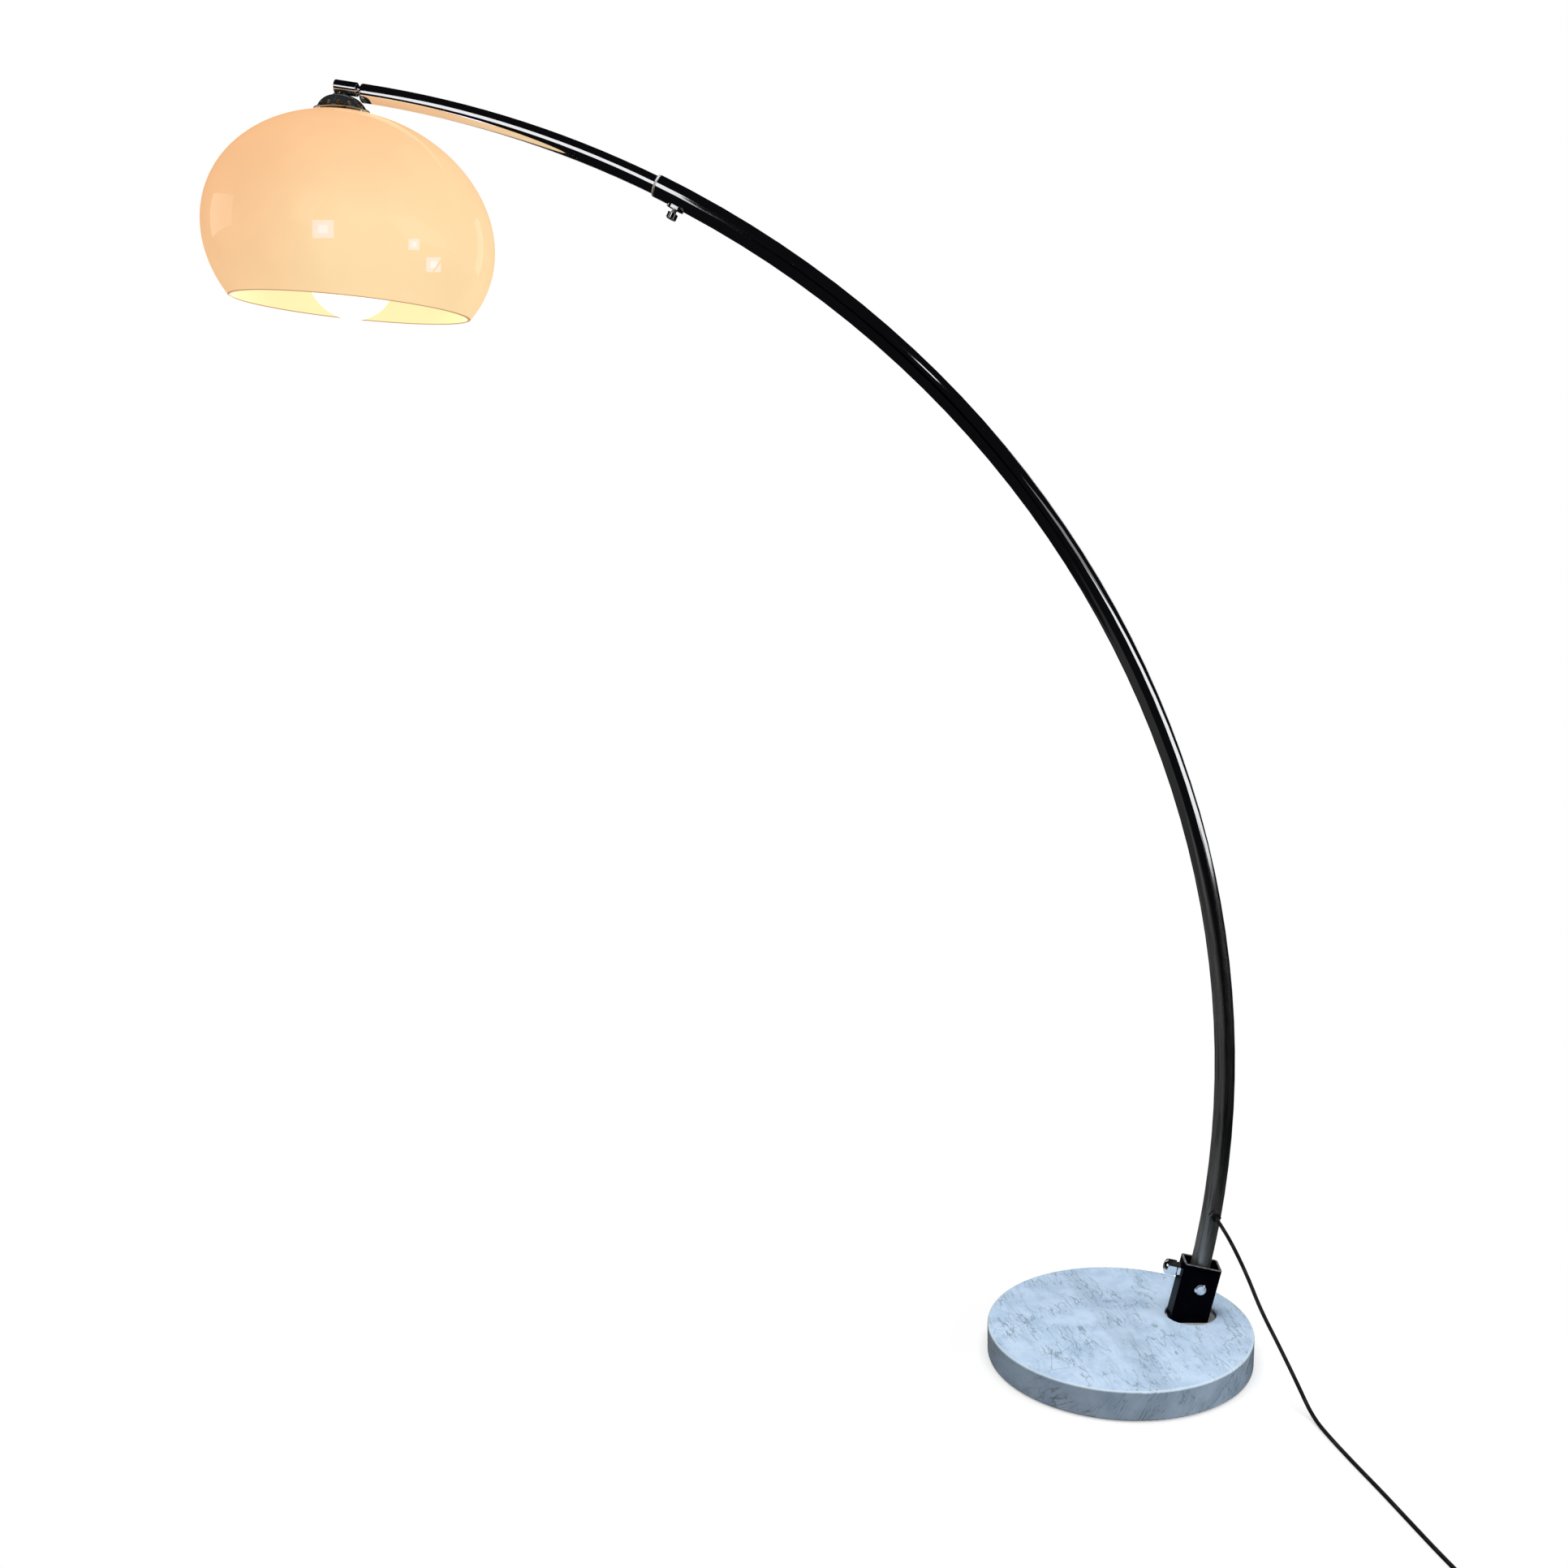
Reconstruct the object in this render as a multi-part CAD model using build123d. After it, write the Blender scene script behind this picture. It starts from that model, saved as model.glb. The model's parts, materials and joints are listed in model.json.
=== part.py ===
"""Arc floor lamp: round marble base, leaning socket, telescopic bow and a globe shade under its tip.

Millimetres. The origin is the centre of the base's underside, on the floor. +Z is up, the shade
hangs towards -X and the bow stands in a plane parallel to XZ.
"""
from build123d import *
import math
import os

# Marble base
BASE_DIA = 350.0
MARBLE_THICK = 40.0
FELT_THICK = 1.5
FELT_INSET = 8.0
EDGE_ROUND = 2.5
FOOT_OFFSET = 105.0
REST_SWIVEL = 18.0
FOOT_HOLE_DIA = 68.0
HOLE_CHAMFER = 0.8
RECESS_DIA = 100.0
RECESS_DEPTH = 12.0

# Swivel in the base
FLANGE_GAP = 1.5
FLANGE_THICK = 5.0
HUB_GAP = 2.0
POCKET_DIA = 34.0
TURNTABLE_DIA = 65.5
TURNTABLE_THICK = 6.0
TURNTABLE_SINK = 5.5
SLIP_THICK = 1.5
SLIP_DIA = 54.0
SWIVEL_BOLT_DIA = 12.0
SWIVEL_BOLT_FLATS = 18.0
SWIVEL_HEAD_THICK = 7.5
SWIVEL_NUT_THICK = 9.0
SWIVEL_WASHER_DIA = 26.0
SWIVEL_WASHER_THICK = 2.5
BOLT_END = 1.5
FLANGE_SCREW_DIA = 5.0
FLANGE_SCREW_LENGTH = 20.0
FLANGE_SCREW_HEAD_DIA = 9.0
FLANGE_SCREW_HEAD_THICK = 3.0
FLANGE_SCREW_ROUND = 1.0
FLANGE_SCREW_COUNT = 3

# Socket that holds the foot of the bow
SOCKET_LENGTH = 50.0
SOCKET_DEPTH = 36.0
SOCKET_WALL = 3.0
SOCKET_CORNER = 4.0
SOCKET_RISE = 31.0
SOCKET_SHIFT = 0.5
SOCKET_RIM_ROUND = 0.6
FOOT_LEAN = 12.64
PIVOT_HEIGHT = 85.2
PIVOT_BEHIND = 5.7
PIN_OFFSET = 3.5
PIN_DIA = 13.0
PIN_STANDS_OUT = 3.0
PIN_CHAMFER = 1.0
PIN_HEAD_DIA = 16.0
PIN_HEAD_THICK = 2.0
CLIP_THICK = 1.5
CLIP_WIDTH = 3.5
SPACER_WIDTH = 4.5

# Screw that sets the tilt of the bow
TILT_SCREW_DIA = 10.0
TILT_SCREW_UP = 15.0
TILT_TIP_ROUND = 4.5
TILT_HEAD_FLATS = 20.0
TILT_HEAD_THICK = 16.0
TILT_HEAD_STANDOFF = 7.5
TILT_HEAD_DOME = 15.0
LOCK_NUT_FLATS = 17.0
LOCK_NUT_THICK = 5.5

# Bow: two tubes bent to one radius, the thinner sliding in the thicker
BOW_RADIUS = 1252.4
OUTER_DIA = 26.0
OUTER_WALL = 1.5
OUTER_LENGTH = 1667.0
OUTER_TAIL = 26.0
INNER_DIA = 21.0
INNER_WALL = 1.5
INNER_LENGTH = 600.0
INNER_SHOWN = 362.8
SLEEVE_LENGTH = 45.0
SLEEVE_FLANGE = 3.0
SLEEVE_ROUND = 1.4
TAIL_BUSH_LENGTH = 22.0
GLAND_UP = 104.5
GLAND_TURN = 5.0
GLAND_FLATS = 13.0
GLAND_THICK = 8.5
GLAND_CHAMFER = 1.1
GLAND_SHANK_DIA = 8.0
CLAMP_FROM_END = 29.0
CLAMP_SCREW_DIA = 6.0
BOSS_LENGTH = 21.0
BOSS_WIDTH = 13.0
BOSS_HEIGHT = 2.0
KNOB_DIA = 12.5
KNOB_THICK = 7.5
KNOB_STANDOFF = 4.5
KNOB_LOBES = 6
KNOB_NOTCH_DIA = 3.2
KNOB_ROUND = 1.0

# Head that turns on the tip of the bow
PLUG_CAP = 3.0
PLUG_ROUND = 2.2
PLUG_DEPTH = 12.0
NECK_DIA = 9.0
NECK_GAP = 5.0
NECK_IN = 5.0
HEAD_RISE = 3.0
BARREL_DIA = 15.5
BARREL_LENGTH = 27.0
BARREL_ROUND = 1.2
DROP_IN = 20.5
HANG_TILT = 2.4
HEAD_SWING = 2.0
NIPPLE_DIA = 10.0
NIPPLE_BORE = 7.0
NIPPLE_LENGTH = 92.0

# Cap, shade and lamp, measured down from the barrel's axis
COLLAR_DIA = 18.0
CAP_TOP = 9.6
CAP_LIFT = 3.0
CAP_CROWN_DIA = 20.0
CAP_DIA = 58.0
CAP_BRIM = 3.0
CAP_WALL = 1.2
CAP_SHOULDER_OUT = 0.66
CAP_SHOULDER_DOWN = 0.38
VENT_COUNT = 14
VENT_DIA = 5.0
VENT_UP = 4.6
SHADE_DROP = 167.2
SHADE_LEAN = 3.0
SHADE_DIA = 337.0
SHADE_HALF_HEIGHT = 139.8
SHADE_WALL = 3.0
SHADE_RIM_DROP = 78.2
SHADE_HOLE_DIA = 36.0
SEAT_PLATE_DIA = 64.0
SEAT_PLATE_THICK = 1.5
SEAT_NUT_FLATS = 15.0
SEAT_NUT_THICK = 5.0
HOLDER_CAP_LENGTH = 16.0
HOLDER_DIA = 40.0
HOLDER_LENGTH = 44.0
HOLDER_WALL = 3.0
HOLDER_BORE_DIA = 28.0
HOLDER_BORE_DEPTH = 30.0
BULB_CAP_DIA = 26.4
BULB_CAP_LENGTH = 27.0
BULB_CONTACT_DIA = 10.0
BULB_DIA = 102.0
BULB_DROP = 207.5
BULB_GLASS = 1.0
BULB_NECK_DIA = 32.0
BULB_SHOULDER_TURN = 58.0

# Mains lead
CORD_DIA = 5.0
BEND_SHARE = 0.45
COIL_CENTRE = (254.5, -528.0)
COIL_INNER_RADIUS = 21.0
COIL_PITCH = 5.6
COIL_TURNS_IN = 3.5
COIL_TURNS_OUT = 3.75
COIL_TAIL = 28.0
TIE_THICK = 0.6
TIE_WIDTH = 9.0
TIE_GAP = 0.3
TIE_TURN = 140.0
TIE_CORNER = 1.7
ENTRY_DIA = 9.0
ENTRY_LENGTH = 22.0
ENTRY_TIP_DIA = 6.5
PLUG_BACK_WIDTH = 15.0
PLUG_FRONT_WIDTH = 34.0
PLUG_TAPER_LENGTH = 20.0
PLUG_FRONT_LENGTH = 12.0
PLUG_EDGE_ROUND = 2.0
PLUG_PIN_DIA = 4.0
PLUG_PIN_LENGTH = 19.0
PLUG_PIN_SPACING = 19.0
PLUG_PIN_ROUND = 1.6

# Clearances
RUN_GAP = 0.1
PIN_GAP = 0.05
SEAT_GAP = 0.05
BORE_GAP = 0.2
SLIDE_GAP = 0.3
FLOOR_GAP = 0.1

# Places worked out from the sizes above
FOOT_X = FOOT_OFFSET * math.cos(math.radians(REST_SWIVEL))
FOOT_Y = FOOT_OFFSET * math.sin(math.radians(REST_SWIVEL))
FOOT = Pos(FOOT_X, FOOT_Y, 0)
MARBLE_TOP = FELT_THICK + MARBLE_THICK
RECESS_TOP = FELT_THICK + RECESS_DEPTH
FLANGE_DIA = RECESS_DIA - 2 * FLANGE_GAP
FLANGE_UNDER = RECESS_TOP - FLANGE_THICK
FLANGE_SCREW_RADIUS = (FOOT_HOLE_DIA + FLANGE_DIA) / 4
TURNTABLE_TOP = MARBLE_TOP - TURNTABLE_SINK
TURNTABLE_UNDER = TURNTABLE_TOP - TURNTABLE_THICK
HUB_TOP = TURNTABLE_UNDER - SLIP_THICK - RUN_GAP
BOLT_UNDER = FELT_THICK + BOLT_END
NUT_UNDER = BOLT_UNDER + BOLT_END
WASHER_UNDER = NUT_UNDER + SWIVEL_NUT_THICK
POCKET_TOP = WASHER_UNDER + SWIVEL_WASHER_THICK + RUN_GAP

PIVOT_X = FOOT_X + PIVOT_BEHIND
SOCKET = Location((PIVOT_X, FOOT_Y, PIVOT_HEIGHT), (0, FOOT_LEAN, 0))
PIN = SOCKET * Pos(PIN_OFFSET, 0, 0)
BOW_CENTRE_X = PIVOT_X - BOW_RADIUS * math.cos(math.radians(FOOT_LEAN))
BOW_CENTRE_Z = PIVOT_HEIGHT + BOW_RADIUS * math.sin(math.radians(FOOT_LEAN))
BOW_AXIS = Axis((BOW_CENTRE_X, FOOT_Y, BOW_CENTRE_Z), (0, -1, 0))
OUTER_BORE = OUTER_DIA - 2 * OUTER_WALL
INNER_BORE = INNER_DIA - 2 * INNER_WALL


def bow_degrees(length):
    """Degrees round the bow's centre for a length along the bow."""
    return math.degrees(length / BOW_RADIUS)


FOOT_ANGLE = -FOOT_LEAN - bow_degrees(OUTER_TAIL)
OUTER_END_ANGLE = bow_degrees(OUTER_LENGTH) - FOOT_LEAN
INNER_END_ANGLE = OUTER_END_ANGLE + bow_degrees(INNER_SHOWN)
INNER_START_ANGLE = INNER_END_ANGLE - bow_degrees(INNER_LENGTH)
GLAND_ANGLE = bow_degrees(GLAND_UP) - FOOT_LEAN
CLAMP_ANGLE = OUTER_END_ANGLE - bow_degrees(CLAMP_FROM_END)


def on_bow(angle):
    """Place on the bow's centre line: x away from the bow's centre, y back, z along the tube."""
    turn = math.radians(angle)
    outward = (math.cos(turn), 0, math.sin(turn))
    along = (-math.sin(turn), 0, math.cos(turn))
    x = BOW_CENTRE_X + BOW_RADIUS * outward[0]
    z = BOW_CENTRE_Z + BOW_RADIUS * outward[2]
    return Plane((x, FOOT_Y, z), x_dir=outward, z_dir=along).location


TIP = on_bow(INNER_END_ANGLE)
BARREL_START = PLUG_CAP + NECK_GAP
HANG_POINT = (TIP * Pos(HEAD_RISE, 0, BARREL_START + DROP_IN)).position
HANG_SIN = math.sin(math.radians(HANG_TILT))
HANG_COS = math.cos(math.radians(HANG_TILT))
UPRIGHT = Plane(HANG_POINT, x_dir=(HANG_COS, 0, -HANG_SIN), z_dir=(-HANG_SIN, 0, -HANG_COS)).location
HANG = UPRIGHT * Rot(HEAD_SWING, 0, 0)

CLAMP = on_bow(CLAMP_ANGLE) * Rot(0, -90, 0)
GLAND = on_bow(GLAND_ANGLE) * Rot(0, 0, GLAND_TURN) * Rot(90, 0, 0)
GLAND_FACE = OUTER_DIA / 2 + GLAND_THICK
TILT_TIP = OUTER_DIA / 2 + TILT_SCREW_UP**2 / (2 * BOW_RADIUS) + BORE_GAP
TILT = SOCKET * Location((-TILT_TIP, 0, TILT_SCREW_UP), (0, -90, 0))
TILT_WALL = SOCKET_LENGTH / 2 - SOCKET_SHIFT - TILT_TIP

COIL_LOW = CORD_DIA / 2 + TIE_THICK + TIE_GAP + FLOOR_GAP
COIL_HIGH = COIL_LOW + COIL_PITCH
COIL_START = (COIL_CENTRE[0] + COIL_INNER_RADIUS + COIL_PITCH * COIL_TURNS_IN, COIL_CENTRE[1], COIL_LOW)
CORD_LIES = CORD_DIA / 2 + FLOOR_GAP


def place_of(location, x, y, z):
    """World point of a point given in a location's own axes."""
    return tuple((location * Pos(x, y, z)).position)


# The lead's route: out of the gland, down to the floor and along it to the coil
CORD_SPLIT = (146.0, -43.0, 156.0)
CORD_STRAIGHT = 18.0
UPPER_ROUTE = [
    place_of(GLAND, 0, 0, GLAND_FACE),
    place_of(GLAND, 0, 0, GLAND_FACE + CORD_STRAIGHT),
    (138.5, -28.0, 171.5),
    CORD_SPLIT,
]
LOWER_ROUTE = [
    CORD_SPLIT,
    (153.5, -58.0, 140.5),
    (167.0, -82.5, 104.0),
    (184.5, -111.5, 70.5),
    (201.7, -141.0, 35.0),
    (215.5, -167.0, 4.4),
    (226.0, -212.0, CORD_LIES),
    (239.5, -266.0, CORD_LIES),
    (254.5, -321.0, CORD_LIES),
    (268.0, -376.0, CORD_LIES),
    (281.5, -430.0, CORD_LIES),
    (COIL_START[0], -481.0, COIL_LOW),
    COIL_START,
]


def disc(diameter, thickness, bore=0.0):
    """Round plate standing on its own zero height, with a bore if one is given."""
    plate = Circle(diameter / 2)
    if bore > 0:
        plate -= Circle(bore / 2)
    return extrude(plate, thickness)


def hexagon(flats, thickness, bore=0.0):
    """Six-sided bar standing on its own zero height, with a bore if one is given."""
    face = RegularPolygon(flats / 2, 6, major_radius=False)
    if bore > 0:
        face -= Circle(bore / 2)
    return extrude(face, thickness)


def bow_tube(diameter, bore, start, end):
    """Stretch of tube, or of bar where the bore is zero, along the bow."""
    face = Circle(diameter / 2)
    if bore > 0:
        face -= Circle(bore / 2)
    return revolve(on_bow(start) * face, axis=BOW_AXIS, revolution_arc=end - start)


def lowest_edges(shape):
    """Edges at a shape's lowest height."""
    return shape.edges().group_by(Axis.Z)[0]


def highest_edges(shape):
    """Edges at a shape's greatest height."""
    return shape.edges().group_by(Axis.Z)[-1]


def flange_screw_places():
    """Places of the flange's screws round the swivel axis."""
    return FOOT * PolarLocations(FLANGE_SCREW_RADIUS, FLANGE_SCREW_COUNT)


def felt_pad():
    pad = disc(BASE_DIA - 2 * FELT_INSET, FELT_THICK)
    return pad - FOOT * disc(RECESS_DIA + FELT_INSET, FELT_THICK)


def marble_base():
    block = Pos(0, 0, FELT_THICK) * disc(BASE_DIA, MARBLE_THICK)
    block = fillet(block.edges().filter_by(GeomType.CIRCLE), EDGE_ROUND)
    block -= FOOT * Pos(0, 0, FELT_THICK) * disc(FOOT_HOLE_DIA, MARBLE_THICK)
    block -= FOOT * Pos(0, 0, FELT_THICK) * disc(RECESS_DIA, RECESS_DEPTH)
    mouth = Cone(FOOT_HOLE_DIA / 2, FOOT_HOLE_DIA / 2 + HOLE_CHAMFER, HOLE_CHAMFER)
    block -= FOOT * Pos(0, 0, MARBLE_TOP - HOLE_CHAMFER / 2) * mouth
    anchor = disc(FLANGE_SCREW_DIA + 2 * SEAT_GAP, FLANGE_SCREW_LENGTH)
    for place in flange_screw_places():
        block -= place * Pos(0, 0, FLANGE_UNDER) * anchor
    return block


def hub_flange():
    bore = SWIVEL_BOLT_DIA + 2 * PIN_GAP
    hub = Pos(0, 0, FLANGE_UNDER) * disc(FLANGE_DIA, FLANGE_THICK)
    hub += Pos(0, 0, FLANGE_UNDER) * disc(FOOT_HOLE_DIA - 2 * HUB_GAP, HUB_TOP - FLANGE_UNDER)
    hub -= Pos(0, 0, FLANGE_UNDER) * disc(POCKET_DIA, POCKET_TOP - FLANGE_UNDER)
    hub -= disc(bore, HUB_TOP)
    hub = FOOT * hub
    hole = disc(FLANGE_SCREW_DIA + 2 * SEAT_GAP, FLANGE_THICK)
    for place in flange_screw_places():
        hub -= place * Pos(0, 0, FLANGE_UNDER) * hole
    return hub


def flange_screws():
    screws = []
    for place in flange_screw_places():
        shank = disc(FLANGE_SCREW_DIA, FLANGE_SCREW_LENGTH)
        head = Pos(0, 0, -FLANGE_SCREW_HEAD_THICK) * disc(FLANGE_SCREW_HEAD_DIA, FLANGE_SCREW_HEAD_THICK)
        head = fillet(lowest_edges(head), FLANGE_SCREW_ROUND)
        screws.append(place * Pos(0, 0, FLANGE_UNDER) * (shank + head))
    return Compound(children=screws)


def slip_washer():
    return FOOT * Pos(0, 0, HUB_TOP) * disc(SLIP_DIA, SLIP_THICK, SWIVEL_BOLT_DIA + 2 * BORE_GAP)


def turntable():
    plate = disc(TURNTABLE_DIA, TURNTABLE_THICK, SWIVEL_BOLT_DIA + 2 * SEAT_GAP)
    return FOOT * Pos(0, 0, TURNTABLE_UNDER) * plate


def swivel_bolt():
    bolt = Pos(0, 0, BOLT_UNDER) * disc(SWIVEL_BOLT_DIA, TURNTABLE_TOP - BOLT_UNDER)
    bolt += Pos(0, 0, TURNTABLE_TOP) * hexagon(SWIVEL_BOLT_FLATS, SWIVEL_HEAD_THICK)
    return FOOT * bolt


def swivel_washer():
    bore = SWIVEL_BOLT_DIA + 2 * SEAT_GAP
    return FOOT * Pos(0, 0, WASHER_UNDER) * disc(SWIVEL_WASHER_DIA, SWIVEL_WASHER_THICK, bore)


def swivel_nut():
    bore = SWIVEL_BOLT_DIA + 2 * SEAT_GAP
    return FOOT * Pos(0, 0, NUT_UNDER) * hexagon(SWIVEL_BOLT_FLATS, SWIVEL_NUT_THICK, bore)


def socket_box():
    outer = RectangleRounded(SOCKET_LENGTH, SOCKET_DEPTH, SOCKET_CORNER)
    inner_length = SOCKET_LENGTH - 2 * SOCKET_WALL
    inner = RectangleRounded(inner_length, SOCKET_DEPTH - 2 * SOCKET_WALL, SOCKET_CORNER - SOCKET_WALL)
    foot_reach = PIVOT_HEIGHT - TURNTABLE_TOP + SOCKET_LENGTH
    walls = Pos(SOCKET_SHIFT, 0, -foot_reach) * extrude(outer - inner, foot_reach + SOCKET_RISE)
    walls = fillet(highest_edges(walls), SOCKET_RIM_ROUND)
    walls = SOCKET * walls
    walls -= PIN * Rot(90, 0, 0) * Cylinder(PIN_DIA / 2 + SEAT_GAP, 2 * SOCKET_DEPTH)
    walls -= TILT * disc(TILT_SCREW_DIA + 2 * BORE_GAP, TILT_WALL + SOCKET_WALL)
    under = Box(4 * foot_reach, 4 * foot_reach, 2 * foot_reach, align=(Align.CENTER, Align.CENTER, Align.MAX))
    return walls - FOOT * Pos(0, 0, TURNTABLE_TOP) * under


def pivot_pin():
    pin = Cylinder(PIN_DIA / 2, SOCKET_DEPTH + 2 * PIN_STANDS_OUT)
    pin = chamfer(pin.edges().filter_by(GeomType.CIRCLE), PIN_CHAMFER)
    head = chamfer(highest_edges(disc(PIN_HEAD_DIA, PIN_HEAD_THICK)), PIN_CHAMFER)
    pin += Pos(0, 0, SOCKET_DEPTH / 2 + SEAT_GAP) * head
    return PIN * Rot(90, 0, 0) * pin


def pivot_clip():
    ring = disc(PIN_DIA + 2 * CLIP_WIDTH, CLIP_THICK, PIN_DIA + 2 * SEAT_GAP)
    return PIN * Rot(-90, 0, 0) * Pos(0, 0, SOCKET_DEPTH / 2) * ring


def pivot_spacers():
    room = SOCKET_DEPTH / 2 - SOCKET_WALL
    thick = room - OUTER_DIA / 2 - SLIDE_GAP
    ring = disc(PIN_DIA + 2 * SPACER_WIDTH, thick, PIN_DIA + 2 * SEAT_GAP)
    rings = [PIN * Rot(side * 90, 0, 0) * Pos(0, 0, room - thick) * ring for side in (-1, 1)]
    return Compound(children=rings)


def tilt_screw():
    head_under = TILT_WALL + TILT_HEAD_STANDOFF
    shank = disc(TILT_SCREW_DIA, head_under)
    shank = fillet(lowest_edges(shank), TILT_TIP_ROUND)
    dome = Pos(0, 0, TILT_HEAD_THICK - TILT_HEAD_DOME) * Sphere(TILT_HEAD_DOME)
    head = hexagon(TILT_HEAD_FLATS, TILT_HEAD_THICK) & dome
    return TILT * (shank + Pos(0, 0, head_under) * head)


def tilt_lock_nut():
    nut = hexagon(LOCK_NUT_FLATS, LOCK_NUT_THICK, TILT_SCREW_DIA + 2 * BORE_GAP)
    return TILT * Pos(0, 0, TILT_WALL) * nut


def outer_tube():
    tube = bow_tube(OUTER_DIA, OUTER_BORE, FOOT_ANGLE, OUTER_END_ANGLE)
    tube -= PIN * Rot(90, 0, 0) * Cylinder(PIN_DIA / 2 + PIN_GAP, 2 * OUTER_DIA)
    tube -= GLAND * disc(GLAND_SHANK_DIA + 2 * SEAT_GAP, OUTER_DIA)
    tube -= CLAMP * disc(CLAMP_SCREW_DIA + 2 * BORE_GAP, OUTER_DIA)
    return tube


def cord_gland():
    body = hexagon(GLAND_FLATS, GLAND_FACE)
    body = chamfer(highest_edges(body), GLAND_CHAMFER)
    body = GLAND * body
    reach = bow_degrees(2 * GLAND_FLATS)
    body -= bow_tube(OUTER_DIA + 2 * SEAT_GAP, 0, GLAND_ANGLE - reach, GLAND_ANGLE + reach)
    inside = OUTER_BORE / 2 - OUTER_WALL
    shank = GLAND * Pos(0, 0, inside) * disc(GLAND_SHANK_DIA, GLAND_FACE - GLAND_THICK / 2 - inside)
    return body + shank


def guide_sleeve():
    bore = INNER_DIA + 2 * SLIDE_GAP
    start = OUTER_END_ANGLE - bow_degrees(SLEEVE_LENGTH)
    lining = bow_tube(OUTER_BORE - 2 * SEAT_GAP, bore, start, OUTER_END_ANGLE)
    lining -= CLAMP * disc(CLAMP_SCREW_DIA + 2 * BORE_GAP, OUTER_DIA)
    collar = disc(OUTER_DIA, SLEEVE_FLANGE, bore)
    collar = fillet(highest_edges(collar).sort_by(SortBy.LENGTH)[-1:], SLEEVE_ROUND)
    return lining + on_bow(OUTER_END_ANGLE) * collar


def clamp_boss():
    outline = SlotOverall(BOSS_LENGTH, BOSS_WIDTH) - Circle(CLAMP_SCREW_DIA / 2 + BORE_GAP)
    boss = CLAMP * extrude(outline, OUTER_DIA / 2 + BOSS_HEIGHT)
    reach = bow_degrees(2 * BOSS_LENGTH)
    return boss - bow_tube(OUTER_DIA + 2 * SEAT_GAP, 0, CLAMP_ANGLE - reach, CLAMP_ANGLE + reach)


def clamp_screw():
    tip = INNER_DIA / 2 + SLIDE_GAP
    knob_under = OUTER_DIA / 2 + BOSS_HEIGHT + KNOB_STANDOFF
    screw = Pos(0, 0, tip) * disc(CLAMP_SCREW_DIA, knob_under - tip)
    outline = Circle(KNOB_DIA / 2)
    for place in PolarLocations(KNOB_DIA / 2, KNOB_LOBES):
        outline -= place * Circle(KNOB_NOTCH_DIA / 2)
    knob = extrude(outline, KNOB_THICK)
    knob = chamfer(highest_edges(knob), KNOB_ROUND)
    return CLAMP * (screw + Pos(0, 0, knob_under) * knob)


def inner_tube():
    return bow_tube(INNER_DIA, INNER_BORE, INNER_START_ANGLE, INNER_END_ANGLE)


def tail_bush():
    outside = OUTER_BORE - 2 * SLIDE_GAP
    end = INNER_START_ANGLE + bow_degrees(TAIL_BUSH_LENGTH)
    return bow_tube(outside, INNER_DIA + 2 * SEAT_GAP, INNER_START_ANGLE, end)


def tip_plug():
    stem = Pos(0, 0, -PLUG_DEPTH) * disc(INNER_BORE - 2 * BORE_GAP, PLUG_DEPTH)
    cap = disc(INNER_DIA, PLUG_CAP)
    cap = fillet(highest_edges(cap), PLUG_ROUND)
    neck = Pos(HEAD_RISE, 0, 0) * disc(NECK_DIA, BARREL_START + NECK_IN)
    return TIP * (stem + cap + neck)


def head_barrel():
    barrel = disc(BARREL_DIA, BARREL_LENGTH)
    barrel = fillet(barrel.edges().filter_by(GeomType.CIRCLE), BARREL_ROUND)
    barrel -= disc(NECK_DIA + 2 * PIN_GAP, NECK_IN + BORE_GAP)
    barrel = TIP * Pos(HEAD_RISE, 0, BARREL_START) * barrel
    return barrel - HANG * disc(NIPPLE_DIA + 2 * SEAT_GAP, BARREL_DIA)


def head_nipple():
    return HANG * disc(NIPPLE_DIA, NIPPLE_LENGTH, NIPPLE_BORE)


def shade_height(radius, inset=0.0):
    """Distance below the barrel's axis of the shade's outer skin at a radius, or of a skin inside it."""
    share = radius / (SHADE_DIA / 2 - inset)
    return SHADE_DROP - (SHADE_HALF_HEIGHT - inset) * math.sqrt(1 - share**2)


def cap_collar():
    collar = HANG * disc(COLLAR_DIA, CAP_TOP, NIPPLE_DIA + 2 * SEAT_GAP)
    barrel = Cylinder(BARREL_DIA / 2 + SEAT_GAP, 4 * BARREL_LENGTH)
    above = HANG * Box(2 * COLLAR_DIA, 2 * COLLAR_DIA, BARREL_DIA)
    return collar - TIP * Pos(HEAD_RISE, 0, BARREL_START) * barrel - above


def cap_arc(crown, top, rim, bottom):
    """Domed flank of the cap between its crown and its rim."""
    shoulder_x = crown + (rim - crown) * CAP_SHOULDER_OUT
    shoulder_y = top + (bottom - top) * CAP_SHOULDER_DOWN
    return ThreePointArc((crown, top), (shoulder_x, shoulder_y), (rim, bottom))


def vented_cap():
    rim = CAP_DIA / 2
    brim = rim + CAP_BRIM
    crown = CAP_CROWN_DIA / 2
    bore = NIPPLE_DIA / 2 + SEAT_GAP
    under = shade_height(rim - CAP_WALL) - CAP_LIFT
    over = under - CAP_WALL
    inner_top = CAP_TOP + CAP_WALL
    outside = cap_arc(crown, CAP_TOP, rim, over)
    inside = cap_arc(crown, inner_top, rim - CAP_WALL, under)
    edges = [Line((bore, CAP_TOP), (crown, CAP_TOP)), outside]
    edges.append(Polyline((rim, over), (brim, over), (brim, under), (rim - CAP_WALL, under)))
    edges.append(inside)
    edges.append(Polyline((crown, inner_top), (bore, inner_top), (bore, CAP_TOP)))
    cap = revolve(Plane.XZ * make_face(edges), Axis.Z)
    for place in PolarLocations(rim, VENT_COUNT):
        vent = Rot(0, 90, 0) * Cylinder(VENT_DIA / 2, CAP_DIA / 4)
        cap -= Pos(0, 0, under - VENT_UP) * place * vent
    return HANG * cap


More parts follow.
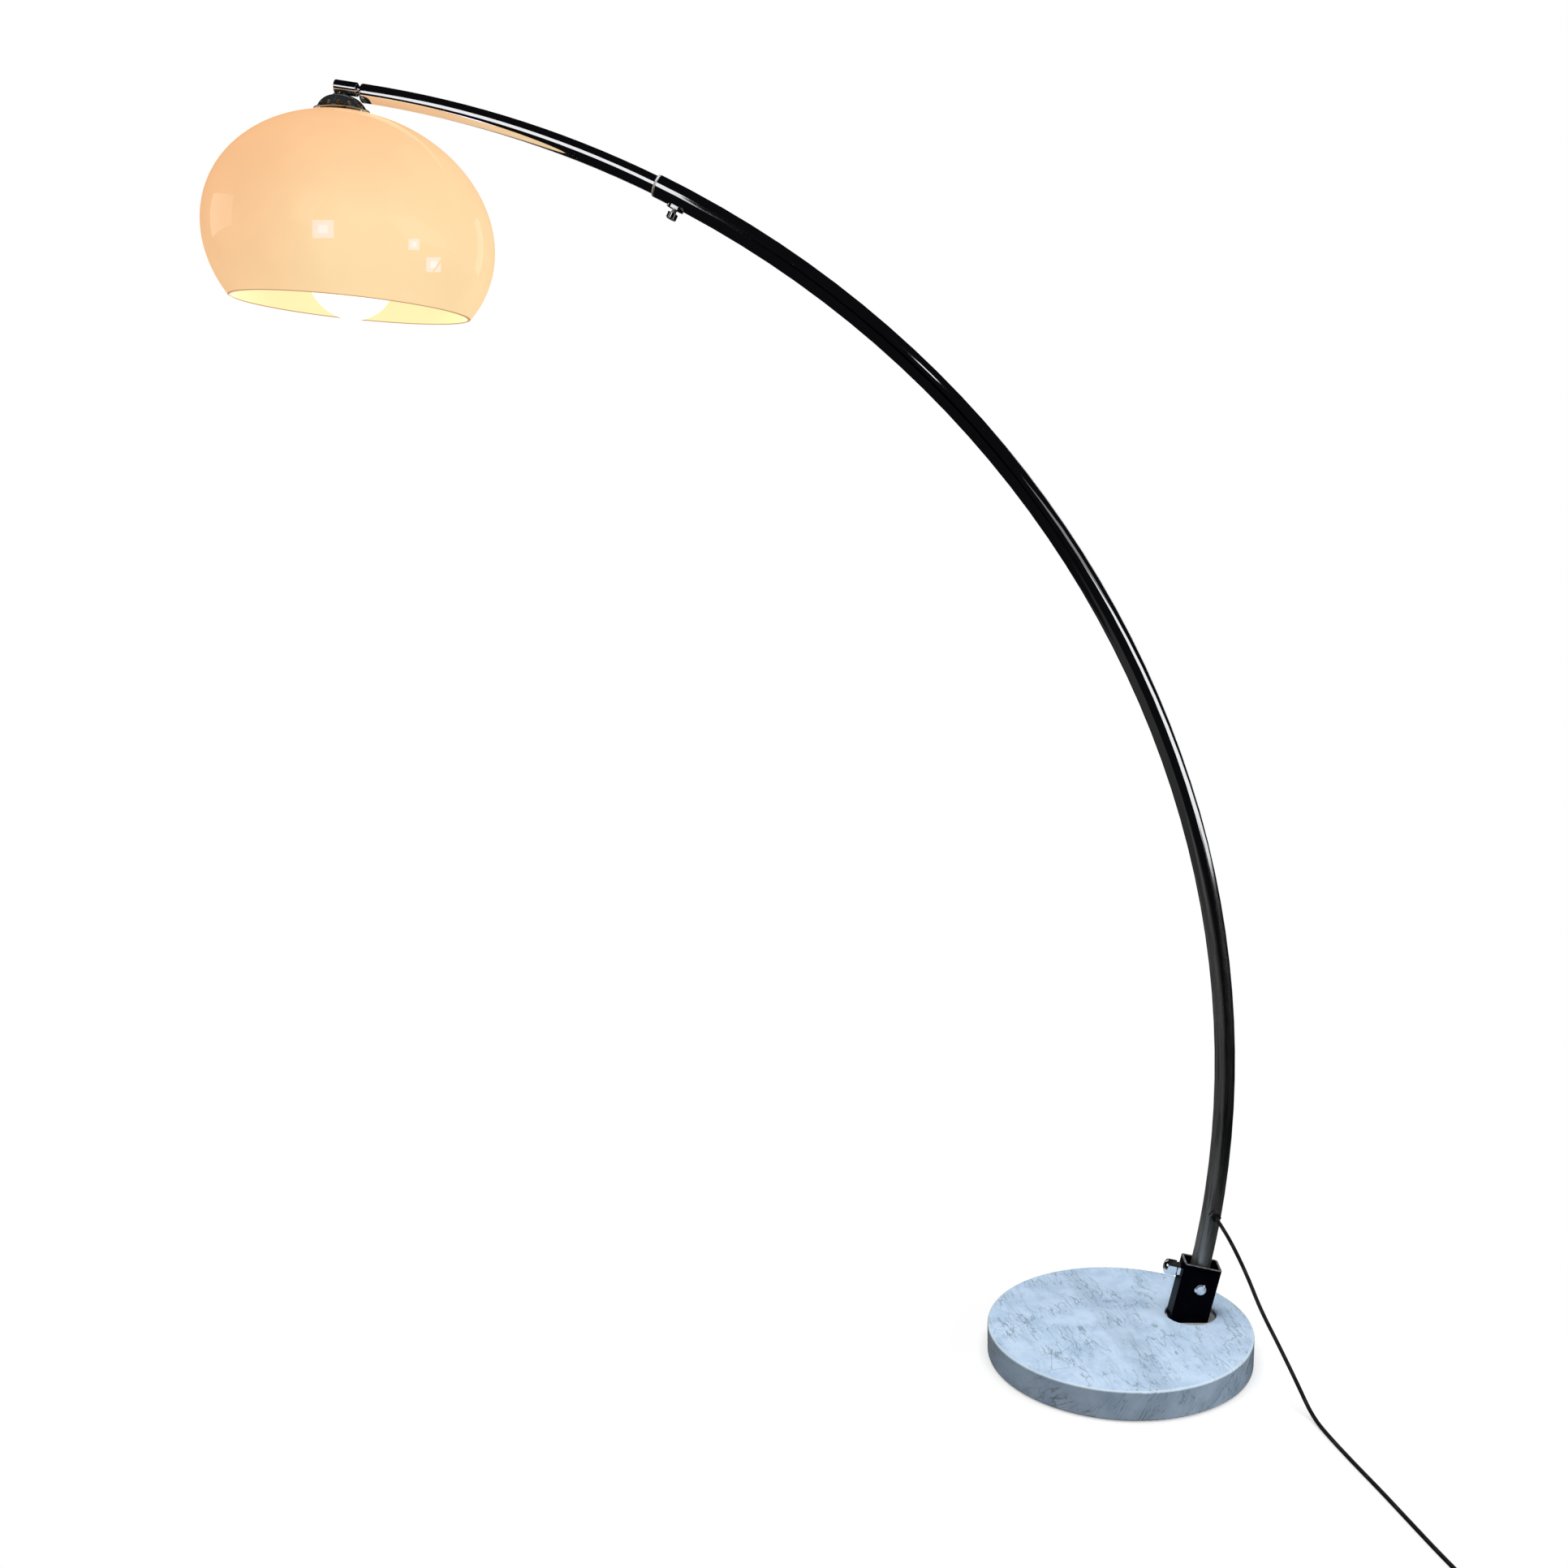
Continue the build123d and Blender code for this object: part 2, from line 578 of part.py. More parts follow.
def shade():
    """Open globe that leans on its seat: it is rolled about the centre of its crown's curve."""
    half = SHADE_DIA / 2
    hole = SHADE_HOLE_DIA / 2

    def skin(width, height):
        top = -math.degrees(math.acos(hole / width))
        rim = math.degrees(math.asin(SHADE_RIM_DROP / height))
        return EllipticalCenterArc((0, 0), width, height, top, arc_size=rim - top)

    outer = skin(half, SHADE_HALF_HEIGHT)
    inner = skin(half - SHADE_WALL, SHADE_HALF_HEIGHT - SHADE_WALL)
    edges = [outer, inner, Line(outer @ 0, inner @ 0), Line(outer @ 1, inner @ 1)]
    shell = revolve(Plane.XZ * make_face(edges), Axis.Z)
    crown_radius = half**2 / SHADE_HALF_HEIGHT
    roll_centre = crown_radius - SHADE_HALF_HEIGHT
    leaning = Pos(0, 0, SHADE_DROP + roll_centre) * Rot(0, -SHADE_LEAN, 0) * Pos(0, 0, -roll_centre)
    return HANG * leaning * shell


def seat_plate_top():
    """Distance below the barrel's axis of the plate that carries the shade."""
    return shade_height(SEAT_PLATE_DIA / 2, SHADE_WALL) + RUN_GAP


def seat_plate():
    plate = disc(SEAT_PLATE_DIA, SEAT_PLATE_THICK, NIPPLE_DIA + 2 * SEAT_GAP)
    return HANG * Pos(0, 0, seat_plate_top()) * plate


def seat_nut():
    nut = hexagon(SEAT_NUT_FLATS, SEAT_NUT_THICK, NIPPLE_DIA + 2 * SEAT_GAP)
    return HANG * Pos(0, 0, seat_plate_top() + SEAT_PLATE_THICK) * nut


HOLDER_TOP = NIPPLE_LENGTH - HOLDER_WALL
HOLDER_MIDDLE = HOLDER_TOP + HOLDER_CAP_LENGTH
HOLDER_MOUTH = HOLDER_MIDDLE + HOLDER_LENGTH


def holder_cap():
    crown = NIPPLE_DIA / 2 + 2 * HOLDER_WALL
    rim = HOLDER_DIA / 2
    cone = Cone(crown, rim, HOLDER_CAP_LENGTH, align=(Align.CENTER, Align.CENTER, Align.MIN))
    hollow_length = HOLDER_CAP_LENGTH - HOLDER_WALL
    hollow = Cone(crown - HOLDER_WALL, rim - HOLDER_WALL, hollow_length)
    cone -= Pos(0, 0, HOLDER_WALL + hollow_length / 2) * hollow
    cone -= disc(NIPPLE_DIA + 2 * SEAT_GAP, HOLDER_CAP_LENGTH)
    return HANG * Pos(0, 0, HOLDER_TOP) * cone


def holder_body():
    body = disc(HOLDER_DIA, HOLDER_LENGTH)
    body -= Pos(0, 0, HOLDER_LENGTH - HOLDER_BORE_DEPTH) * disc(HOLDER_BORE_DIA, HOLDER_BORE_DEPTH)
    body = fillet(highest_edges(body).sort_by(SortBy.LENGTH)[-1:], HOLDER_WALL / 2)
    return HANG * Pos(0, 0, HOLDER_MIDDLE) * body


BULB_CAP_END = HOLDER_MOUTH
BULB_CAP_START = BULB_CAP_END - BULB_CAP_LENGTH


def bulb_cap():
    cap = Pos(0, 0, BULB_CAP_START) * disc(BULB_CAP_DIA, BULB_CAP_LENGTH)
    floor_at = HOLDER_MOUTH - HOLDER_BORE_DEPTH
    contact = Cone(BULB_CONTACT_DIA / 2, BULB_CAP_DIA / 2, BULB_CAP_START - floor_at)
    cap += Pos(0, 0, (BULB_CAP_START + floor_at) / 2) * contact
    return HANG * cap


def bulb_glass():
    """Globe with a neck that ends on the metal cap, blown as one thin wall."""

    def skin(inset):
        globe = BULB_DIA / 2 - inset
        neck = BULB_NECK_DIA / 2 - inset
        start = BULB_CAP_END + SEAT_GAP - BULB_DROP
        meet = math.radians(BULB_SHOULDER_TURN)
        shoulder = (globe * math.cos(meet), -globe * math.sin(meet))
        side = (globe * math.cos(meet / 2), -globe * math.sin(meet / 2))
        swell = Spline((neck, start), shoulder, tangents=[(0, 1), (math.sin(meet), math.cos(meet))])
        upper = ThreePointArc(shoulder, side, (globe, 0))
        lower = ThreePointArc((globe, 0), (globe * math.sqrt(0.5), globe * math.sqrt(0.5)), (0, globe))
        return [swell, upper, lower]

    outer = skin(0)
    inner = skin(BULB_GLASS)
    ends = [Line(outer[0] @ 0, inner[0] @ 0), Line(outer[2] @ 1, inner[2] @ 1)]
    glass = revolve(Plane.XZ * make_face(outer + inner + ends), Axis.Z)
    return HANG * Pos(0, 0, BULB_DROP) * glass


def route_radii(points):
    """Bend radius at each inner point of a route, from the shorter run beside it."""
    radii = []
    for before, here, after in zip(points, points[1:], points[2:]):
        come = Vector(*here) - Vector(*before)
        go = Vector(*after) - Vector(*here)
        half_turn = math.radians(come.get_angle(go)) / 2
        radii.append(BEND_SHARE * min(come.length, go.length) / math.tan(half_turn))
    return radii


def cord_stretch(points, name):
    """Tube along a route of straight runs and tangent bends."""
    radii = route_radii(points)
    path = FilletPolyline(*points, radius=radii)
    print(name, "length", round(path.length, 1), "least radius", round(min(radii), 1))
    section = Plane(path @ 0, z_dir=path % 0) * Circle(CORD_DIA / 2)
    return sweep(section, path=path)


def coil_place(turns):
    """Point and heading on the coil: in to the middle on the floor layer, out again on the upper."""
    radius = COIL_INNER_RADIUS + COIL_PITCH * abs(turns - COIL_TURNS_IN)
    climb = min(max((turns - COIL_TURNS_IN) * 2 + 0.5, 0.0), 1.0)
    height = COIL_LOW + COIL_PITCH * climb * climb * (3 - 2 * climb)
    slope = 2 * COIL_PITCH * 6 * climb * (1 - climb)
    turn = -2 * math.pi * turns
    side = 0.0 if turns == COIL_TURNS_IN else math.copysign(COIL_PITCH, turns - COIL_TURNS_IN)
    x = COIL_CENTRE[0] + radius * math.cos(turn)
    y = COIL_CENTRE[1] + radius * math.sin(turn)
    heading_x = side * math.cos(turn) + 2 * math.pi * radius * math.sin(turn)
    heading_y = side * math.sin(turn) - 2 * math.pi * radius * math.cos(turn)
    if turns == 0:
        heading_x = 0.0
    if turns == COIL_TURNS_IN + COIL_TURNS_OUT:
        heading_y = 0.0
    return Vector(x, y, height), Vector(heading_x, heading_y, slope).normalized()


def biarc(start, start_way, end, end_way):
    """Two arcs that join two points with the given headings."""
    across = end - start
    both = start_way + end_way
    spread = 2 * (1 - start_way.dot(end_way))
    lean = across.dot(both)
    reach = (math.sqrt(lean * lean + spread * across.dot(across)) - lean) / spread
    middle = (start + end + (start_way - end_way) * reach) * 0.5
    first = TangentArc(start, middle, tangent=start_way)
    second = TangentArc(middle, end, tangent=first % 1)
    return [first, second]


def least_gap(path, samples, apart):
    """Least clear distance between parts of a coil that lie apart along it."""
    points = [path.position_at(step / samples) for step in range(samples + 1)]
    skip = int(apart * samples / path.length)
    gap = min((points[a] - points[b]).length for a in range(samples) for b in range(a + skip, samples + 1))
    return gap - CORD_DIA


def cord_coil():
    steps = round(4 * (COIL_TURNS_IN + COIL_TURNS_OUT))
    stops = [coil_place(step / 4) for step in range(steps + 1)]
    edges = []
    for (start, start_way), (end, end_way) in zip(stops, stops[1:]):
        edges += biarc(start, start_way, end, end_way)
    tail = stops[-1][0] + stops[-1][1] * COIL_TAIL
    edges.append(Line(stops[-1][0], tail))
    path = Wire(edges)
    gap = least_gap(path, 600, 4 * CORD_DIA)
    print("coil length", round(path.length, 1), "least gap", round(gap, 2))
    section = Plane(stops[0][0], z_dir=stops[0][1]) * Circle(CORD_DIA / 2)
    return sweep(section, path=path)


def cord_tie():
    """Flat band round all the turns at one place of the coil."""
    near = COIL_INNER_RADIUS - CORD_DIA / 2 - TIE_GAP
    far = COIL_INNER_RADIUS + COIL_PITCH * COIL_TURNS_OUT + CORD_DIA / 2 + TIE_GAP
    low = COIL_LOW - CORD_DIA / 2 - TIE_GAP
    high = COIL_HIGH + CORD_DIA / 2 + TIE_GAP
    room = Pos((near + far) / 2, (low + high) / 2) * RectangleRounded(far - near, high - low, TIE_CORNER)
    band = offset(room, TIE_THICK) - room
    strap = extrude(Plane.XZ * band, TIE_WIDTH / 2, both=True)
    return Pos(*COIL_CENTRE, 0) * Rot(0, 0, TIE_TURN) * strap


PLUG_THICK = 2 * (COIL_HIGH - FLOOR_GAP)
PLUG_END = coil_place(COIL_TURNS_IN + COIL_TURNS_OUT)[0] + Vector(-COIL_TAIL, 0, 0)
PLUG = Plane(PLUG_END, x_dir=(0, 1, 0), z_dir=(-1, 0, 0)).location


def plug_body():
    entry = Cone(ENTRY_TIP_DIA / 2, ENTRY_DIA / 2, ENTRY_LENGTH, align=(Align.CENTER, Align.CENTER, Align.MIN))
    back = Pos(0, 0, ENTRY_LENGTH) * RectangleRounded(PLUG_BACK_WIDTH, ENTRY_DIA, PLUG_EDGE_ROUND)
    shoulder = Pos(0, 0, ENTRY_LENGTH + PLUG_TAPER_LENGTH)
    outline = RectangleRounded(PLUG_FRONT_WIDTH, PLUG_THICK, PLUG_EDGE_ROUND)
    body = loft([back, shoulder * outline])
    body += shoulder * extrude(outline, PLUG_FRONT_LENGTH)
    return PLUG * (entry + body)


def plug_pins():
    face = ENTRY_LENGTH + PLUG_TAPER_LENGTH + PLUG_FRONT_LENGTH
    pin = disc(PLUG_PIN_DIA, PLUG_PIN_LENGTH)
    pin = fillet(highest_edges(pin), PLUG_PIN_ROUND)
    pins = [PLUG * Pos(side * PLUG_PIN_SPACING / 2, 0, face) * pin for side in (-1, 1)]
    return Compound(children=pins)


NODES = {
    "felt_pad": felt_pad,
    "marble_base": marble_base,
    "hub_flange": hub_flange,
    "flange_screws": flange_screws,
    "slip_washer": slip_washer,
    "turntable": turntable,
    "swivel_bolt": swivel_bolt,
    "swivel_washer": swivel_washer,
    "swivel_nut": swivel_nut,
    "socket_box": socket_box,
    "pivot_pin": pivot_pin,
    "pivot_clip": pivot_clip,
    "pivot_spacers": pivot_spacers,
    "tilt_screw": tilt_screw,
    "tilt_lock_nut": tilt_lock_nut,
    "outer_tube": outer_tube,
    "cord_gland": cord_gland,
    "guide_sleeve": guide_sleeve,
    "clamp_boss": clamp_boss,
    "clamp_screw": clamp_screw,
    "inner_tube": inner_tube,
    "tail_bush": tail_bush,
    "tip_plug": tip_plug,
    "head_barrel": head_barrel,
    "head_nipple": head_nipple,
    "cap_collar": cap_collar,
    "vented_cap": vented_cap,
    "shade": shade,
    "seat_plate": seat_plate,
    "seat_nut": seat_nut,
    "holder_cap": holder_cap,
    "holder_body": holder_body,
    "bulb_cap": bulb_cap,
    "bulb_glass": bulb_glass,
    "cord_coil": cord_coil,
    "cord_tie": cord_tie,
    "plug_body": plug_body,
    "plug_pins": plug_pins,
}

os.makedirs("parts", exist_ok=True)
for node, make in NODES.items():
    export_step(make(), f"parts/{node}.step")
export_step(cord_stretch(UPPER_ROUTE, "upper cord"), "parts/cord_upper.step")
export_step(cord_stretch(LOWER_ROUTE, "lower cord"), "parts/cord_lower.step")
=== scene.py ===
"""Looks of the arc floor lamp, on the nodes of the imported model. All lengths are metres."""

import json
import math

import bmesh
import bpy
from mathutils import Matrix, Vector


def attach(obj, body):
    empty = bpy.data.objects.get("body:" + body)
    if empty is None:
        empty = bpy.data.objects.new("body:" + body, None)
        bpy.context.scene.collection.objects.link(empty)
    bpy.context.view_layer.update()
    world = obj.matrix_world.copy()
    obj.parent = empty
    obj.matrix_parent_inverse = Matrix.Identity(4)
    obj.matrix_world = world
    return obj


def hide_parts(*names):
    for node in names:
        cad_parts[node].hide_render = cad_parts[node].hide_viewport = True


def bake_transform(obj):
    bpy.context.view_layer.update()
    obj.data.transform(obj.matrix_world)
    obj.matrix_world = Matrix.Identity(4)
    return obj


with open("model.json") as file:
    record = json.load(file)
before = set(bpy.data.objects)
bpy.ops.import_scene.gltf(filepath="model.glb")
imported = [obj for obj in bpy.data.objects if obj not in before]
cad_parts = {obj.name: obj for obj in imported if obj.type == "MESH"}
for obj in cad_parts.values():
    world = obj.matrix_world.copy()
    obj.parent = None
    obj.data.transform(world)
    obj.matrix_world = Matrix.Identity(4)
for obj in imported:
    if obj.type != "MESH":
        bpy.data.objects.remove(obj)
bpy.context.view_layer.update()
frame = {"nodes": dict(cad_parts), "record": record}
NODES = frame["nodes"]
bpy.context.scene.view_settings.view_transform = "Standard"

# Places in the lamp, as in part.py
FOOT = Vector((0.099861, 0.032447, 0.0415))
BOW_CENTRE = Vector((-1.11649, 0.032447, 0.35925))
BOW_RADIUS = 1.2524
BASE_RADIUS = 0.175
BASE_TOP = 0.0415
HANG_POINT = Vector((-0.931342, 0.032447, 1.601255))
HANG_DOWN = Vector((-0.041850, 0.034900, -0.998514))
SHADE_CENTRE = Vector((-0.935033, 0.038285, 1.434079))
SHADE_DOWN = Vector((-0.094083, 0.034852, -0.994954))
SHADE_ACROSS = Vector((0.995563, 0.001827, -0.094076))
SHADE_RADIUS = 0.1685
SHADE_HALF_HEIGHT = 0.1398
SHADE_WALL = 0.003
SHADE_RIM_DROP = 0.0782
SHADE_HOLE_RADIUS = 0.018
SHADE_STEPS_DOWN = 76
SHADE_STEPS_ROUND = 180
LIP_ROOM = 0.004
LIP_ROUND = 0.0011
LIP_DEPTH = 0.0012
PIVOT = Vector((0.105561, 0.032447, 0.0852))
SOCKET_UP = Vector((0.21882, 0, 0.97577))
SOCKET_RISE = 0.031
TILT_START = Vector((0.095875, 0.032447, 0.102745))
TILT_WAY = Vector((-0.97577, 0, 0.21882))
CLAMP_START = Vector((-0.534250, 0.032447, 1.468087))
CLAMP_WAY = Vector((-0.464896, 0, -0.885365))
PLUG_START = Vector((0.2265, -0.570, 0.0091))
PLUG_WAY = Vector((-1, 0, 0))
RELIEF_LENGTH = 0.022
RELIEF_TIP_RADIUS = 0.00325
RELIEF_GROWS = 0.00125


def add_object(name, data):
    made = bpy.data.objects.new(name, data)
    bpy.context.scene.collection.objects.link(made)
    return made


def make_camera():
    """Camera fitted to the photo's base, bow and shade."""
    data = bpy.data.cameras.new("photo_camera")
    data.sensor_width = 36.0
    data.lens = 35.266
    data.shift_x = -0.04233
    data.shift_y = 0.07245
    data.clip_start = 0.05
    data.clip_end = 100.0
    camera = add_object("photo_camera", data)
    yaw = Matrix.Rotation(math.radians(2.809), 4, "Z")
    pitch = Matrix.Rotation(math.radians(90 - 11.7), 4, "X")
    roll = Matrix.Rotation(math.radians(-1.15), 4, "Z")
    camera.matrix_world = Matrix.Translation((-0.2541, -1.9054, 1.0216)) @ yaw @ pitch @ roll
    bpy.context.scene.camera = camera


make_camera()


# The lead: one stretch from the gland to a point in the air, and one from there over the floor
# and through its coil to the plug
CORD_DIA = 0.005
CORD_SPLIT = (0.146, -0.043, 0.156)
CORD_LANDS = (0.2155, -0.167, 0.0044)
CORD_EXIT = (0.126003, 0.011029, 0.187741)
UPPER_ROUTE = [CORD_EXIT, (0.127557, -0.006903, 0.187526), (0.1385, -0.028, 0.1715), CORD_SPLIT]
LOWER_ROUTE = [
    CORD_SPLIT,
    (0.1535, -0.058, 0.1405),
    (0.167, -0.0825, 0.104),
    (0.1845, -0.1115, 0.0705),
    (0.2017, -0.141, 0.035),
    CORD_LANDS,
    (0.226, -0.212, 0.0026),
    (0.2395, -0.266, 0.0026),
    (0.2545, -0.321, 0.0026),
    (0.268, -0.376, 0.0026),
    (0.2815, -0.43, 0.0026),
    (0.2951, -0.481, 0.0035),
]
COIL_CENTRE = (0.2545, -0.528)
COIL_INNER_RADIUS = 0.021
COIL_PITCH = 0.0056
COIL_LOW = 0.0035
COIL_TURNS_IN = 3.5
COIL_TURNS = 7.25
COIL_POINTS_PER_TURN = 24
COIL_TAIL = 0.028


def coil_place(turns):
    """Point on the coil: in to the middle on the floor layer, out again on the upper."""
    radius = COIL_INNER_RADIUS + COIL_PITCH * abs(turns - COIL_TURNS_IN)
    climb = min(max((turns - COIL_TURNS_IN) * 2 + 0.5, 0.0), 1.0)
    height = COIL_LOW + COIL_PITCH * climb * climb * (3 - 2 * climb)
    turn = -2 * math.pi * turns
    x = COIL_CENTRE[0] + radius * math.cos(turn)
    y = COIL_CENTRE[1] + radius * math.sin(turn)
    return (x, y, height)


def lower_points():
    """The lower stretch's control points, down to the plug."""
    steps = round(COIL_TURNS * COIL_POINTS_PER_TURN)
    coil = [coil_place(step / COIL_POINTS_PER_TURN) for step in range(steps + 1)]
    x, y, z = coil[-1]
    return LOWER_ROUTE + coil + [(x - COIL_TAIL / 2, y, z), (x - COIL_TAIL, y, z)]


def route_curve(name, points, depth):
    """NURBS curve along a route, with a round section if depth isn't zero."""
    data = bpy.data.curves.new(name, "CURVE")
    data.dimensions = "3D"
    data.resolution_u = 6
    data.bevel_depth = depth
    data.bevel_resolution = 6
    data.use_fill_caps = depth > 0
    spline = data.splines.new("NURBS")
    spline.points.add(len(points) - 1)
    for point, place in zip(spline.points, points):
        point.co = (*place, 1.0)
    spline.order_u = 3
    spline.use_endpoint_u = True
    return add_object(name, data)


def curve_mesh(curve):
    """The mesh that Blender makes of a curve; the curve itself is taken away."""
    bpy.context.view_layer.update()
    seen = curve.evaluated_get(bpy.context.evaluated_depsgraph_get())
    mesh = bpy.data.meshes.new_from_object(seen)
    data = curve.data
    bpy.data.objects.remove(curve)
    bpy.data.curves.remove(data)
    return mesh


def make_cord(name, points):
    """Mesh tube along a route, and the points of its centre line."""
    line = curve_mesh(route_curve(name + "_line", points, 0.0))
    path = [tuple(vertex.co) for vertex in line.vertices]
    bpy.data.meshes.remove(line)
    mesh = curve_mesh(route_curve(name, points, CORD_DIA / 2))
    mesh.shade_smooth()
    return add_object(name, mesh), path


lead_upper, upper_path = make_cord("lead_upper", UPPER_ROUTE)
lead_lower, lower_path = make_cord("lead_lower", lower_points())
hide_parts("cord_upper")
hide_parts("cord_lower", "cord_coil")
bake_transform(lead_upper)
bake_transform(lead_lower)


class Finish:
    """A procedural finish: a Principled shader whose textures lie in the piece's own coordinates."""

    def __init__(self, name, **sockets):
        self.material = bpy.data.materials.new(name)
        self.material.use_nodes = True
        self.tree = self.material.node_tree
        self.shader = self.tree.nodes["Principled BSDF"]
        self.place = self.node("ShaderNodeTexCoord").outputs["Object"]
        self.set(**sockets)

    def node(self, kind, **settings):
        made = self.tree.nodes.new(kind)
        for key, value in settings.items():
            setattr(made, key, value)
        return made

    def put(self, socket, value):
        """Links an output to a socket, or sets the socket to a constant."""
        if isinstance(value, bpy.types.NodeSocket):
            self.tree.links.new(value, socket)
        elif socket.type == "RGBA":
            socket.default_value = (*value, 1.0)
        else:
            socket.default_value = value

    def set(self, **sockets):
        """Sets the shader's inputs; base_color stands for Base Color and so on."""
        for key, value in sockets.items():
            name = " ".join(word if word == "IOR" else word.capitalize() for word in key.split("_"))
            self.put(self.shader.inputs[name], value)

    def math(self, operation, first, second=0.0, clamp=False):
        made = self.node("ShaderNodeMath", operation=operation, use_clamp=clamp)
        self.put(made.inputs[0], first)
        self.put(made.inputs[1], second)
        return made.outputs[0]

    def axes(self, place=None):
        made = self.node("ShaderNodeSeparateXYZ")
        self.put(made.inputs[0], place or self.place)
        return made.outputs

    def join(self, x, y, z):
        made = self.node("ShaderNodeCombineXYZ")
        for socket, value in zip(made.inputs, (x, y, z)):
            self.put(socket, value)
        return made.outputs[0]

    def stretch(self, scale, turn=(0, 0, 0), place=None):
        """Coordinates turned and then scaled, so that a texture is drawn out along some way."""
        turned = self.node("ShaderNodeMapping")
        self.put(turned.inputs["Vector"], place or self.place)
        turned.inputs["Rotation"].default_value = [math.radians(angle) for angle in turn]
        scaled = self.node("ShaderNodeMapping")
        self.put(scaled.inputs["Vector"], turned.outputs[0])
        scaled.inputs["Scale"].default_value = scale
        return scaled.outputs[0]

    def dot(self, way, place=None):
        """Distance of a point along a direction."""
        made = self.node("ShaderNodeVectorMath", operation="DOT_PRODUCT")
        self.put(made.inputs[0], place or self.place)
        made.inputs[1].default_value = way
        return made.outputs["Value"]

    def away(self, point):
        """Distance from a point."""
        made = self.node("ShaderNodeVectorMath", operation="DISTANCE")
        self.put(made.inputs[0], self.place)
        made.inputs[1].default_value = point
        return made.outputs["Value"]

    def noise(self, scale, place=None, detail=4.0, roughness=0.5, distortion=0.0):
        made = self.node("ShaderNodeTexNoise")
        self.put(made.inputs["Vector"], place or self.place)
        made.inputs["Scale"].default_value = scale
        made.inputs["Detail"].default_value = detail
        made.inputs["Roughness"].default_value = roughness
        made.inputs["Distortion"].default_value = distortion
        return made.outputs["Fac"]

    def cells(self, scale, place=None, feature="F1"):
        made = self.node("ShaderNodeTexVoronoi", feature=feature)
        self.put(made.inputs["Vector"], place or self.place)
        made.inputs["Scale"].default_value = scale
        return made.outputs["Distance"]

    def span(self, value, low, high, start=0.0, end=1.0):
        """The value's run from low to high, as a smooth step from start to end."""
        made = self.node("ShaderNodeMapRange", interpolation_type="SMOOTHSTEP")
        for socket, setting in zip(made.inputs, (value, low, high, start, end)):
            self.put(socket, setting)
        return made.outputs[0]

    def ridge(self, value, width):
        """1 on the lines where a noise passes its middle, falling to 0 at the given width."""
        off_line = self.math("ABSOLUTE", self.math("SUBTRACT", value, 0.5))
        return self.span(off_line, 0.0, width, 1.0, 0.0)

    def times(self, *values):
        """Product of several values."""
        total = values[0]
        for value in values[1:]:
            total = self.math("MULTIPLY", total, value)
        return total

    def length(self, first, second):
        """Length of the way given by two distances at right angles."""
        return self.math("SQRT", self.math("ADD", self.times(first, first), self.times(second, second)))

    def near(self, value, middle, inside, outside):
        """1 within a distance of a middle value, falling to 0 at another."""
        off = self.math("ABSOLUTE", self.math("SUBTRACT", value, middle))
        return self.span(off, inside, outside, 1.0, 0.0)

    def mix(self, share, first, second):
        made = self.node("ShaderNodeMix", data_type="RGBA")
        self.put(made.inputs[0], share)
        self.put(made.inputs[6], first)
        self.put(made.inputs[7], second)
        return made.outputs[2]

    def bump(self, height, depth, strength=1.0):
        made = self.node("ShaderNodeBump")
        made.inputs["Strength"].default_value = strength
        made.inputs["Distance"].default_value = depth
        self.put(made.inputs["Height"], height)
        self.put(self.shader.inputs["Normal"], made.outputs[0])


# The marble's veins: the way they run, the way across them, the way they sink, and where they crowd
VEINS_RUN = (0.26, -0.966, 0.0)
VEINS_STEP = (0.80, 0.216, -0.557)
VEINS_SINK = (-0.538, -0.145, -0.829)
VEIN_CLUSTER = -0.030


